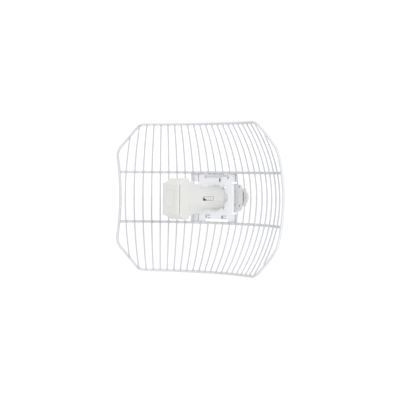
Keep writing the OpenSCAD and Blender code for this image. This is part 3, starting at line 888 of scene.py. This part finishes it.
class ANTENNA_OT_centre_plate(bpy.types.Operator):
    """Makes the pressed sheet plate with its notches, slots, tabs and wings"""

    bl_idname = "antenna.centre_plate"
    bl_label = "Centre plate"

    def execute(self, context):
        notch = [(PLATE_W, -WING_Z), (33.9, -WING_Z), (33.5, -28.5)]
        notch += [(33.9, -TAB_H), (34.6, -TAB_H)]
        notch += [(x, -z) for x, z in reversed(notch)]
        right = [(PLATE_W, -PLATE_H)] + notch
        right += [(PLATE_W, PLATE_H), (NOTCH_W, PLATE_H), (NOTCH_W, NOTCH_Z), (12.5, NOTCH_Z)]
        top = [(11.5, 38.6), (-24, 38.6), (-25.6, 37.2), (-29.2, 37.2), (-29.2, PLATE_H)]
        left = [(-PLATE_W, PLATE_H)] + [(-x, z) for x, z in reversed(notch)]
        low = [(-PLATE_W, -PLATE_H), (-NOTCH_W, -PLATE_H), (-NOTCH_W, -40.4), (NOTCH_W, -40.4)]
        outline = soft_loop(right + top + left + low + [(NOTCH_W, -PLATE_H)], 0.7)
        keyhole = [(3.6, 35.0), (4.6, 35.0), (4.6, 29.4), (8.2, 29.4), (8.2, 35.0), (10.6, 35.0)]
        keyhole += [(10.6, 36.3), (3.6, 36.3)]
        slant = [(22.3, 36.4), (23.9, 35.4), (28.4, 39.6), (26.9, 41.0)]
        holes = [circle_loop(0, 0, DISC_R, 72)] + [circle_loop(x, z, SCREW_R) for x, z in SCREWS]
        holes.append(lanced_tab(-26.3, -14.8, -39.2, -32.2, 3.6, 1.6))
        holes.append(lanced_tab(10.2, 21.6, -39.4, -33.4, 4.2, 1.2))
        holes += [soft_loop(keyhole, 0.4), soft_loop(slant, 0.6)]
        plate = flat_sheet("centre_plate_sheet", outline, holes, PLATE_FRONT, PLATE_BACK, 0.22)
        shape = Shape()
        thick = PLATE_BACK - PLATE_FRONT
        bend = [(33.8, -0.97), (35.2, -0.97), (36.2, -0.8), (36.75, -0.3), (TAB_X, 0.5)]
        bend += [(TAB_X, 1.3), (TAB_X, 9.4), (TAB_X, TAB_END - 0.5), (TAB_X - 0.15, TAB_END)]
        run = sum(math.dist(p, q) for p, q in zip(bend[:5], bend[1:6]))
        window = (run, run + WINDOW_LEN, -WINDOW_Z, WINDOW_Z)
        up = [0, 7, WINDOW_Z, 20, TAB_H - 0.4, TAB_H]
        heights = [-z for z in reversed(up[1:])] + up
        for side, (width, lean) in WINGS.items():
            bent_sheet(shape, [(side * x, y) for x, y in bend], heights, side * thick, [window])
            wing = [(side * (PLATE_W - 1.0), PLATE_FRONT), (side * PLATE_W, PLATE_FRONT)]
            for reach in (0.1 * width, 0.5 * width, 0.97 * width, width):
                x, y = PLATE_W + reach * math.cos(lean), PLATE_FRONT - reach * math.sin(lean)
                wing.append((side * x, y))
            for low, high in ((WING_Z, PLATE_H), (-PLATE_H, -WING_Z)):
                levels = [low, low + 0.4, (low + high) / 2, high - 0.4, high]
                bent_sheet(shape, wing, levels, side * thick)
        # The hook behind the upper cross rod and the stiffening lips of both notches
        hook = [(39.4, -0.4), (40.4, 0.6), (41.4, 2.2), (43.0, 3.1), (45.5, 3.2), (48.0, 3.0)]
        rings = []
        for x, soft in ((-23.5, 0.4), (-23.1, 0), (11.0, 0), (11.4, 0.4)):
            outer = [(x, y, z) for z, y in hook]
            inner = [(x, y + 1.2 - soft, z - 0.5) for z, y in reversed(hook)]
            rings.append(outer + inner)
        shape.loft(rings)
        shape.block((-21, -0.6, -40.2), (21, 5.4, -38.8))
        # The left side's reliefs are pressed shut
        for side in (1, -1):
            shape.block((-42.4, -0.96, side * 19.0), (-33.6, 0.3, side * 30.3), 0.1)
        # Strips pressed back behind the slots
        shape.block((-31, 3.4, 27.5), (31, 4.4, 44.3), 0.2)
        shape.block((-29, 3.0, -38.7), (25, 4.0, -28), 0.2)
        shape.block((13, -0.6, 38.3), (23.5, 5.0, 39.6))
        merge(plate, [shape.build()])
        dress(plate, "antenna", "coated_steel", ["centre_plate"], angle=32)
        # Painted shade: the outer faces of the side tabs take the wires' darker coat
        second_finish(plate, "coated_wire", lambda normal, middle: (
            abs(normal.x) > 0.7 and abs(middle.x) > 35 and middle.y > 0.3
        ))
        return {"FINISHED"}


class ANTENNA_OT_housing_screws(bpy.types.Operator):
    """Makes the four pan-head screws of the rear housing"""

    bl_idname = "antenna.housing_screws"
    bl_label = "Housing screws"

    def execute(self, context):
        profile = [(0.02, -3.0), (1.2, -2.98), (2.2, -2.75), (2.9, -2.3), (3.3, -1.6)]
        profile += [(3.4, -1.05), (2.0, -1.0), (2.0, 8.6), (1.5, 9.0), (0.02, 9.0)]
        screws = []
        for x, z in SCREWS:
            screw = turned(profile, 32, name="housing_screws_set")
            arms = ((2.0, 0.38), (0.38, 2.0))
            slots = [block((-w, -3.5, -h), (w, -1.9, h), 0.1) for w, h in arms]
            combine(screw, slots, "DIFFERENCE")
            screw.data.transform(Matrix.Translation(Vector((x, 0, z)) * MM))
            screws.append(screw)
        merge(screws[0], screws[1:])
        dress(screws[0], "antenna", "yellow_zinc", ["housing_screws"])
        return {"FINISHED"}


# ---- Rear housing, lock nut and mast bracket ----

HOUSING_W, HOUSING_H, HOUSING_BACK = 33.0, 25.7, 34.0
SOCKET_R, COLLAR_R, NECK_R, TAIL_ROOM_R = 14.5, 17.0, 20.5, 17.2
GUARD_LEN, GUARD_X, GROOVES = 5.0, 28.0, 12
TONGUE_X, TONGUE_H = 35.4, 12.2
BALL_R, STEM_R = 13.0, 6.0
MAST_R, MAST_Y, SADDLE_TURN = 25.0, 81.0, math.radians(57)
BRACKET_W, BRACKET_H, BRACKET_FRONT, BRACKET_BACK = 32.5, 17.2, 53.0, 62.0


def ball_profile(radius, start, end, steps=14):
    """(radius, y) places on the ball, between two angles from its front."""
    angles = [math.radians(start + (end - start) * k / steps) for k in range(steps + 1)]
    return [
        (max(0.02, radius * math.sin(t)), BALL_BEHIND_VERTEX - radius * math.cos(t)) for t in angles
    ]


class ANTENNA_OT_rear_housing(bpy.types.Operator):
    """Makes the housing behind the plate, with its socket and side tongues"""

    bl_idname = "antenna.rear_housing"
    bl_label = "Rear housing"

    def execute(self, context):
        w, h = HOUSING_W, HOUSING_H
        levels = [(0.5, 0.6), (0.8, 0.15), (1.3, 0), (20.0, 0.1), (36.8, 0.2), (38.0, 0.4)]
        levels += [(38.7, 0.9), (HOUSING_BACK + GUARD_LEN, 1.9)]
        shape = Shape().loft([box_ring(y, w - e, h - e, 7, steps=8) for y, e in levels])
        body = shape.build("rear_housing_shell")
        neck = [(TAIL_ROOM_R, 33.0), (NECK_R, 33.0)]
        for k in range(4):
            start = 34.6 + 1.3 * k
            neck += [(NECK_R, start), (NECK_R - 0.5, start + 0.4)]
            neck += [(NECK_R - 0.5, start + 0.7), (NECK_R, start + 1.1)]
        neck += [(NECK_R - 0.4, 40.0), (TAIL_ROOM_R, 40.0)]
        sides = (1, -1)
        combine(body, [
            block((side * 31.5, 2.6, -TONGUE_H), (side * TONGUE_X, 8.0, TONGUE_H), 0.7)
            for side in sides
        ], "UNION")
        bore = ball_profile(SOCKET_R, 0, 90) + [(SOCKET_R, 30.5), (COLLAR_R, 30.5)]
        bore += [(COLLAR_R, 41), (0.02, 41)]
        tail = [(0.02, 0), (TAIL_ROOM_R, 0), (TAIL_ROOM_R, 9.5), (0.02, 9.5)]
        cutters = [turned(bore, 72), turned(tail, 72)]
        gap_end = HOUSING_BACK + GUARD_LEN + 2
        cutters.append(block((-GUARD_X, HOUSING_BACK, -h - 2), (GUARD_X, gap_end, h + 2), 0.5))
        # Notches and a shallow pocket in each side wall, three pockets above and below
        for side in sides:
            for z in (-15, 21):
                low, high = side * (w - 3), side * (w + 3)
                cutters.append(block((low, 25, z - 2), (high, 29, z + 2), 0.3))
            cutters.append(block((side * (w - 0.9), 12.5, -9), (side * (w + 2), 24.5, 9), 0.6))
            for x in (-18, 0, 18):
                low, high = side * (h - 1.6), side * (h + 2)
                cutters.append(block((x - 7, 8, low), (x + 7, 26, high), 0.7))
        combine(body, cutters, "DIFFERENCE")
        merge(body, [turned(neck, 96)])
        dress(body, "antenna", "housing_plastic", ["rear_housing"], angle=32)
        return {"FINISHED"}


class ANTENNA_OT_lock_nut(bpy.types.Operator):
    """Makes the grooved lock nut that clamps the ball"""

    bl_idname = "antenna.lock_nut"
    bl_label = "Lock nut"

    def execute(self, context):
        depth = context.scene.antenna_rear.grip_depth / MM
        step, width, inner = 2 * math.pi / GROOVES, math.radians(6.0), 20.6

        def grip(turn, radius):
            if radius < inner:
                return 0
            off = abs((turn + step / 2) % step - step / 2)
            fade = min(1.0, (radius - inner) / 3)
            return fade * depth * math.cos(min(1.0, off / width) * math.pi / 2) ** 1.2

        outside = [(24.3, 35.0), (24.8, 35.2), (25, 35.7), (25, 37), (25, 38.5), (25, 39.8)]
        outside += [(24.8, 40.4), (24.1, 40.9), (22.5, 41.7), (21, 42.4), (19.8, 43.0)]
        mouth = [(19.2, 43.35), (18.5, 43.5), (14.0, 43.5), (13.3, 43.3), (13.05, 42.8)]
        inside = [(13.05, 32.6), (13.9, 32.0), (16.9, 31.2), (16.9, 40.3), (20.57, 40.3)]
        inside += [(20.57, 35.3), (20.9, 35.0)]
        nut = turned(outside + mouth + inside, 240, grip, "lock_nut_ring")
        dress(nut, "lock_nut", "housing_plastic", ["lock_nut"], angle=34)
        return {"FINISHED"}


class ANTENNA_OT_mast_bracket(bpy.types.Operator):
    """Makes the ball, its stem, the bracket plate and the toothed mast saddle"""

    bl_idname = "antenna.mast_bracket"
    bl_label = "Mast bracket"

    def execute(self, context):
        sizes = context.scene.antenna_rear
        saddle_w = MAST_R * math.sin(SADDLE_TURN) + 1.2
        neck_turn = 180 - math.degrees(math.asin(STEM_R / BALL_R))
        profile = ball_profile(BALL_R, 0, neck_turn, 22) + [(STEM_R, 42), (STEM_R, 48.5)]
        profile += [(6.3, 50.4), (7.0, 51.8), (8.2, 52.8), (9.5, 53.6), (0.02, 54)]
        end = BRACKET_W - BRACKET_H
        outline = []
        for side in (1, -1):
            for t in (math.radians(-90 + 7.5 * k) for k in range(25)):
                x, z = end + BRACKET_H * math.cos(t), BRACKET_H * math.sin(t)
                outline.append((side * x, side * z))
        slots = []
        for side in (-1, 1):
            x0, x1 = side * (saddle_w + 2.6) - 1.2, side * (saddle_w + 2.6) + 1.2
            slots.append(soft_loop([(x0, -7), (x1, -7), (x1, 7), (x0, 7)], 1.0))
        plate = flat_sheet(
            "mast_bracket_body", outline, slots, BRACKET_FRONT, BRACKET_BACK, sizes.edge / MM
        )
        teeth = []
        count = 19
        for k in range(count * 2 + 1):
            t = SADDLE_TURN * (k / count - 1)
            reach = MAST_R + (sizes.tooth_depth / MM if k % 2 else 0.02)
            teeth.append((reach * math.sin(t), MAST_Y - reach * math.cos(t)))
        lip, root = MAST_Y - MAST_R * math.cos(SADDLE_TURN), BRACKET_FRONT + 1
        saddle = [(-saddle_w, lip), (-saddle_w, root), (saddle_w, root), (saddle_w, lip)]
        saddle += teeth[::-1]
        cheeks = flat_sheet("saddle", saddle, [], -BRACKET_H, BRACKET_H, 0.3, upright=True)
        # Ribs between the bracket's plate and the saddle's cheeks
        ribs = Shape()
        for side in (-1, 1):
            for z in (-BRACKET_H + 0.6, -1.2, BRACKET_H - 3.0):
                first = (side * 21.5, BRACKET_BACK - 1, z)
                ribs.block(first, (side * 23.2, lip - 0.5, z + 2.4), 0.3)
        merge(plate, [turned(profile, 64), cheeks, ribs.build()])
        dress(plate, "mast_mount", "housing_plastic", ["mast_bracket"], angle=32)
        return {"FINISHED"}


# ---- Feed unit ----

FACE_Y, COVER_BACK, BODY_FRONT, HEAD_BACK = -149.0, -146.4, -144.0, -114.0
HEAD_W, FACE_H, HEAD_H = 18.0, 29.0, 37.0
BASE_FRONT, BASE_BACK, BASE_R, BARREL_TIP = -39.0, -1.2, 21.0, -104.5
TAIL_R, LUG_LEN, LUG_HALF = 16.9, 3.0, 5.25
LIGHTS, LIGHT_Y, LIGHT_STEP, LIGHT_R = 4, -62, 5, 1.25
WINDOW_Y, HINGE_Y, HINGE_Z = -58.0, -34.6, -18.2
PANEL_W, PANEL_H, PANEL_AT = 10.0, 16.5, (-2.2, 1.0)


def arm_half(y):
    """The arm's corners at y: pad half width and height, crown half width and height."""
    f = min(1.0, max(0.0, (y + 96) / 57))
    return 18 + 3.3 * f, 7.6 - 1.6 * f, 5 - f, 31 - 11.5 * f


def barrel_radius(y):
    """The barrel swells from its tip to the base."""
    return min(BASE_R, 19.6 + 0.04 * (y + 105))


def feed_solids(inset):
    """The head, the arm, the barrel and the pad, drawn inwards by inset."""
    w, face, high = HEAD_W - inset, FACE_H - inset, HEAD_H - inset
    front = BODY_FRONT if inset == 0 else BODY_FRONT - 0.5
    levels = [(front, w - 1.2, face), (-143.75, w - 0.7, face + 0.4)]
    levels += [(-143.2, w - 0.3, face + 0.7), (-142.2, w - 0.08, face + 1.2)]
    levels += [(-140.8, w, face + 1.8), (-130.0, w, high - 1.6), (-128.0, w, high - 0.75)]
    levels += [(-126.0, w, high - 0.2), (-124.0, w, high), (-119.0 - inset, w, high)]
    shoulder = [(3.6, 0.1, 0.3), (2.2, 0.5, 1.1), (1.0, 1.3, 2.4), (0.3, 2.2, 3.4), (0, 3, 4)]
    levels += [(HEAD_BACK - y - inset, w - a, high - b) for y, a, b in shoulder]
    head = Shape().loft([box_ring(y, a, b, 3.2, steps=6) for y, a, b in levels]).build()
    rings, soft = [], 1.6
    for y in [-119, -114, -105, *range(-96, -41, 6), BASE_FRONT]:
        a, az, bx, b = arm_half(y)
        rings.append(eight_ring(y, a - soft - inset, az - 0.5, bx, b - soft - inset, soft))
    arm = Shape().loft(rings).build()
    end, base = BASE_BACK - inset, BASE_R - inset
    profile = [(0.02, BARREL_TIP), (barrel_radius(BARREL_TIP) - inset, BARREL_TIP)]
    profile += [(barrel_radius(y) - inset, y) for y in range(-101, -38, 4)]
    profile += [(base, -38), (base, end - 0.9), (base - 0.25, end - 0.25), (base - 0.9, end)]
    barrel = turned(profile + [(0.02, end)], 120)
    sides = []
    for y in (-110, -96, BASE_FRONT - 0.2, BASE_FRONT + 0.2, 2):
        half = arm_half(y)[0] - inset if y < BASE_FRONT else 30
        sides.append(box_ring(y, half, 30, 0.5, steps=2))
    combine(barrel, [Shape().loft(sides).build()], "INTERSECT")
    pad_w = base + 0.3
    pad = block((-pad_w, BASE_FRONT - 2, inset - 6), (pad_w, BASE_BACK - 6, 6 - inset), 0.5)
    return combine(head, [arm, barrel, pad], "UNION")


class ANTENNA_OT_feed_body(bpy.types.Operator):
    """Makes the feed's hollow body: head, arm, barrel, lugs and tail"""

    bl_idname = "antenna.feed_body"
    bl_label = "Feed body"

    def execute(self, context):
        sizes = context.scene.antenna_feed
        wall = sizes.wall / MM
        body = feed_solids(0)
        tail = [(0.02, -2), (TAIL_R, -2), (TAIL_R, 7.9), (TAIL_R - 0.3, 8.3), (16.0, 8.5)]
        added = [turned(tail + [(0.02, 8.5)], 96)]
        lug = BASE_R + LUG_LEN
        for x, z in ((1, 0), (-1, 0), (0, 1), (0, -1)):
            first = (x * 15 - z * LUG_HALF, -6.2, z * 15 - x * LUG_HALF)
            last = (x * lug + z * LUG_HALF, -1.3, z * lug + x * LUG_HALF)
            added.append(block(first, last, 0.5))
        combine(body, added, "UNION")
        bore_r = TAIL_R - wall
        bore = turned([(0.02, -4.5), (bore_r, -4.5), (bore_r, 6.5), (0.02, 6.5)], 64)
        mouth_w, mouth_h = HEAD_W - wall - 0.5, FACE_H - wall - 0.5
        mouth = [box_ring(y, mouth_w, mouth_h, 4) for y in (-147, BODY_FRONT + 1.8)]
        cutters = [feed_solids(wall), bore, Shape().loft(mouth).build()]
        soft = sizes.window_soft / MM
        rings = []
        for x, grow in ((12.0, 0.0), (20.3, 0.0), (20.8, 0.12), (21.3, 0.5), (22.4, 1.7)):
            ring = box_ring(0, 17 + grow, 3.7 + grow, soft + grow, steps=6)
            rings.append([(x, p[0] + WINDOW_Y, p[2] - 0.2) for p in ring])
        cutters.append(Shape().loft(rings).build())
        cutters.append(block((-9.5, -38.6, -27), (9.5, -14, -11), 0.6))
        for k in range(LIGHTS):
            places = circle_loop(0, LIGHT_Y + LIGHT_STEP * k, LIGHT_R)
            rings = [[(x, y, z) for x, y in places] for z in (-30, -14)]
            cutters.append(Shape().loft(rings).build())
        combine(body, cutters, "DIFFERENCE")
        body.name = "feed_body_shell"
        dress(body, "antenna", "feed_plastic", ["feed_body"], angle=30)

        # Painted shade: the body's inner walls take the near-black finish
        def inner_wall(normal, middle):
            reach = math.hypot(middle.x, middle.z)
            inwards = (normal.x * middle.x + normal.z * middle.z) / max(reach, 0.1)
            return inwards < -0.6 and -140 < middle.y < -8 and reach < HEAD_H - 1.2

        second_finish(body, "shield_paint", inner_wall)
        return {"FINISHED"}


class ANTENNA_OT_front_cover(bpy.types.Operator):
    """Makes the front cover with its sloping edge and panel"""

    bl_idname = "antenna.front_cover"
    bl_label = "Front cover"

    def execute(self, context):
        sizes = context.scene.antenna_feed
        chamfer, depth = sizes.cover_chamfer / MM, sizes.panel_depth / MM
        levels = [(-147.0, 5.2, 2.6), (-147.0, 4.6, 3), (-142.1, 4.5, 3), (-142.0, 4.2, 3)]
        levels += [(-142.0, 3.4, 3), (-142.1, 3.05, 3), (COVER_BACK, 3.0, 3), (COVER_BACK, 1.5, 4)]
        levels += [(-146.45, 0.9, 4.4), (-146.6, 0.4, 4.7), (-146.9, 0.08, 5), (-147.2, 0, 5)]
        levels += [(-147.5, 0.05, 5), (-147.9, 0.35, 5), (-148.3, 1.0, 5)]
        levels += [(-148.6, chamfer * 0.62, 4.8), (-148.85, chamfer, 4.5)]
        levels += [(-148.97, chamfer + 0.9, 4.2), (FACE_Y, chamfer + 1.9, 3.8)]
        rings = []
        for y, e, r in levels:
            sloping = e < 3 or y < COVER_BACK - 1.5
            slope = 0.3 * max(0.0, COVER_BACK - y) if sloping else 0
            half_h = FACE_H + 0.5 - e * 0.65 - slope
            rings.append(box_ring(y, HEAD_W - e, half_h, min(r, 2.8), steps=6))

        def panel(grow, y, soft):
            return box_ring(y, PANEL_W + grow, PANEL_H + grow, soft, PANEL_AT, 6)

        for grow, f in ((0.35, 0), (0.1, 0.3), (-0.1, 0.8), (-0.5, 1)):
            rings.append(panel(grow, FACE_Y + depth * f, 3 + grow / 2))
        cover = Shape().loft(rings).build("front_cover_shell")
        # A hollow line just inside the panel's edge
        front, floor = FACE_Y - 1, FACE_Y + depth + 0.25
        line = [(-1.2, front), (-1.2, floor), (-1.75, floor), (-1.75, front)]
        rings = [panel(grow, y, 2.6) for grow, y in line]
        groove = Shape().loft(rings, round_trip=True).build()
        combine(cover, [groove], "DIFFERENCE")
        dress(cover, "antenna", "feed_plastic", ["front_cover"], angle=28)
        return {"FINISHED"}


class ANTENNA_OT_release_latch(bpy.types.Operator):
    """Makes the sprung latch inside the window"""

    bl_idname = "antenna.release_latch"
    bl_label = "Release latch"

    def execute(self, context):
        outline = [(12.2, -74.7), (13.4, -74.7), (15.2, -69.5), (16.9, -63), (17.9, -60.5)]
        outline += [(18.8, -53), (19.5, -45.5), (19.6, -41.3), (15.6, -41.3), (14.4, -60)]
        outline = soft_loop(outline, 0.6)
        latch = flat_sheet("release_latch_arm", outline, [], -3.6, 3.2, 0.35, upright=True)
        wedge = [(-76, 5), (-76, -5), (-60.5, -5), (-60.5, -3.0), (-71.0, 3.6), (-71.5, 5)]
        cutter = Shape().loft([[(x, y, z) for y, z in wedge] for x in (13.6, 24)])
        combine(latch, [cutter.build()], "DIFFERENCE")
        ridges = Shape()
        for k in range(4):
            y = -56.5 + 3.2 * k
            x = 18.3 + (y + 56.5) * 0.08
            ridges.block((x - 1, y, -2.8), (x + 0.45, y + 1.1, 2.4), 0.25)
        merge(latch, [ridges.build()])
        dress(latch, "release_latch", "feed_plastic", ["release_latch"])
        return {"FINISHED"}


class ANTENNA_OT_port_cover(bpy.types.Operator):
    """Makes the hinged cover over the network port"""

    bl_idname = "antenna.port_cover"
    bl_label = "Port cover"

    def execute(self, context):
        high = (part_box("port_cover")[1] - VERTEX) / MM
        back = high[1]
        levels = [(-34.4, 0.5), (-34.1, 0.12), (-33.6, 0), (back - 0.9, 0), (back - 0.4, 0.12)]
        spread = [math.asin((high[0] - 0.1) / BASE_R) * k / 10 for k in range(-10, 11)]
        rings = []
        for y, soft in levels + [(back, 0.5)]:
            ring = []
            for reach, order in ((BASE_R - 0.05 - soft, 1), (BASE_R - 1.8 + soft, -1)):
                ring += [(reach * math.sin(t), y, -reach * math.cos(t)) for t in spread[::order]]
            rings.append(ring)
        cover = Shape().loft(rings).build("port_cover_door")
        knuckle = []
        for x, r in ((-8, 1.6), (-7.7, 1.9), (7.7, 1.9), (8, 1.6), (8, 0.95), (-8, 0.95)):
            knuckle.append([(x, y, z) for y, z in circle_loop(HINGE_Y, HINGE_Z, r, 32)])
        extra = Shape().loft(knuckle, round_trip=True)
        extra.block((-4, -17.6, -BASE_R + 0.3), (4, -16.8, -BASE_R + 1.2), 0.2)
        merge(cover, [extra.build()])
        dress(cover, "port_cover", "feed_plastic", ["port_cover"])
        return {"FINISHED"}


# ---- Stage, with places in metres from the vertex ----

KEY_PLACE, TOP_PLACE = (2.45, -1.65, 0.7), (-0.3, -0.4, 2.3)
FLOOR_RADII = (0.5, 2, 5, 12, 30)
FLOOR_CLOUD = (0.955, 0.955, 0.955, 1)


class StageSettings(bpy.types.PropertyGroup):
    """The camera, the light and the floor."""

    azimuth: angle("Azimuth", "How far the camera stands to the antenna's right", 33.8)
    elevation: angle("Elevation", "How far the camera stands above the antenna", 1.3)
    roll: angle("Roll", "Roll of the camera", 0.38)
    distance: length("Distance", "Distance of the camera from the reflector's vertex", 2.3)
    lens: number("Lens", "Focal length of the camera", 109.8, unit="CAMERA")
    shift_x: number("Shift X", "Sideways shift of the camera's frame", -0.0426, precision=4)
    shift_y: number("Shift Y", "Upward shift of the camera's frame", -0.0056, precision=4)
    floor_drop: length("Floor drop", "Distance of the floor below the antenna's middle", 0.62)
    sky: number("Sky", "Strength of the even white light", 1.06, min=0.0)
    key: power("Key", "Power of the soft light in front and to the right", 43.0)
    key_size: length("Key size", "Width of the light in front and to the right", 1.6)
    top: power("Top", "Power of the soft light overhead", 16.0)
    top_size: length("Top size", "Width of the light overhead", 2.2)


def stand(obj, away, roll=0.0):
    """Stands an object away from the vertex, looking back at it."""
    obj.location = VERTEX + away
    obj.rotation_mode = "QUATERNION"
    turn = (-away).to_track_quat("-Z", "Y")
    obj.rotation_quaternion = turn @ Matrix.Rotation(roll, 3, "Z").to_quaternion()


class ANTENNA_OT_stage(bpy.types.Operator):
    """Makes the camera, the soft lights and the pale floor"""

    bl_idname = "antenna.stage"
    bl_label = "Stage"

    def execute(self, context):
        scene, s = context.scene, context.scene.antenna_stage
        data = bpy.data.cameras.new("camera")
        scene.camera = linked("camera", data)
        away = Vector((
            math.sin(s.azimuth) * math.cos(s.elevation),
            -math.cos(s.azimuth) * math.cos(s.elevation),
            math.sin(s.elevation),
        ))
        stand(scene.camera, away * s.distance, s.roll)
        data.sensor_width = 36
        data.lens = s.lens
        data.shift_x, data.shift_y = s.shift_x, s.shift_y
        world = bpy.data.worlds.new("soft_white")
        scene.world = world
        world.use_nodes = True
        sky = world.node_tree.nodes["Background"]
        sky.inputs["Color"].default_value = (1, 1, 1, 1)
        sky.inputs["Strength"].default_value = s.sky
        for name, place, size, power in (
            ("key_light", KEY_PLACE, s.key_size, s.key),
            ("top_light", TOP_PLACE, s.top_size, s.top),
        ):
            light = bpy.data.lights.new(name, "AREA")
            light.shape, light.size, light.energy = "DISK", size, power
            stand(linked(name, light), Vector(place))
        rings = []
        drop = -s.floor_drop / MM
        for r in FLOOR_RADII:
            rings.append([(r * math.cos(t) / MM, r * math.sin(t) / MM, drop) for t in turns(96)])
        floor = Shape().loft(rings, capped=False)
        floor.faces.append(tuple(range(96)))
        ground = floor.build("floor")
        paint = Recipe("floor_paint", {"Specular IOR Level": 0.2})
        cloud = paint.noise(400, 2.0)
        base = shade(scene.antenna_colours.floor)
        tone = paint.tint(cloud * 0.3, base, FLOOR_CLOUD)
        paint.finish(tone, 0.8 + cloud * 0.1, cloud, 0.1, 0.1)
        ground.data.materials.append(paint.material)
        scene.view_settings.view_transform = "Standard"
        return {"FINISHED"}


class ANTENNA_PT_panel(bpy.types.Panel):
    """Lists the antenna's pieces and their sizes"""

    bl_idname = "ANTENNA_PT_panel"
    bl_label = "Parabolic grid antenna"
    bl_space_type = "VIEW_3D"
    bl_region_type = "UI"
    bl_category = "Antenna"

    def draw(self, context):
        for operator in OPERATORS:
            self.layout.operator(operator.bl_idname)
        for group in GROUPS:
            box = self.layout.box()
            for name in GROUPS[group].__annotations__:
                box.prop(getattr(context.scene, group), name)


GROUPS = {
    "antenna_reflector": ReflectorSizes,
    "antenna_feed": FeedSizes,
    "antenna_rear": RearSizes,
    "antenna_colours": FinishColours,
    "antenna_stage": StageSettings,
}
OPERATORS = [
    ANTENNA_OT_stage, ANTENNA_OT_finishes, ANTENNA_OT_rods, ANTENNA_OT_wires,
    ANTENNA_OT_centre_plate, ANTENNA_OT_housing_screws, ANTENNA_OT_rear_housing,
    ANTENNA_OT_lock_nut, ANTENNA_OT_mast_bracket, ANTENNA_OT_feed_body,
    ANTENNA_OT_front_cover, ANTENNA_OT_release_latch, ANTENNA_OT_port_cover,
]


def register():
    for cls in [*GROUPS.values(), *OPERATORS, ANTENNA_PT_panel]:
        bpy.utils.register_class(cls)
    for name, group in GROUPS.items():
        setattr(bpy.types.Scene, name, bpy.props.PointerProperty(type=group))


def unregister():
    for name in GROUPS:
        delattr(bpy.types.Scene, name)
    for cls in [ANTENNA_PT_panel, *reversed(OPERATORS), *GROUPS.values()]:
        bpy.utils.unregister_class(cls)


def main():
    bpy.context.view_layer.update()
    register()
    for operator in OPERATORS:
        getattr(bpy.ops.antenna, operator.bl_idname.split(".")[1])()


if __name__ == "__main__":
    main()
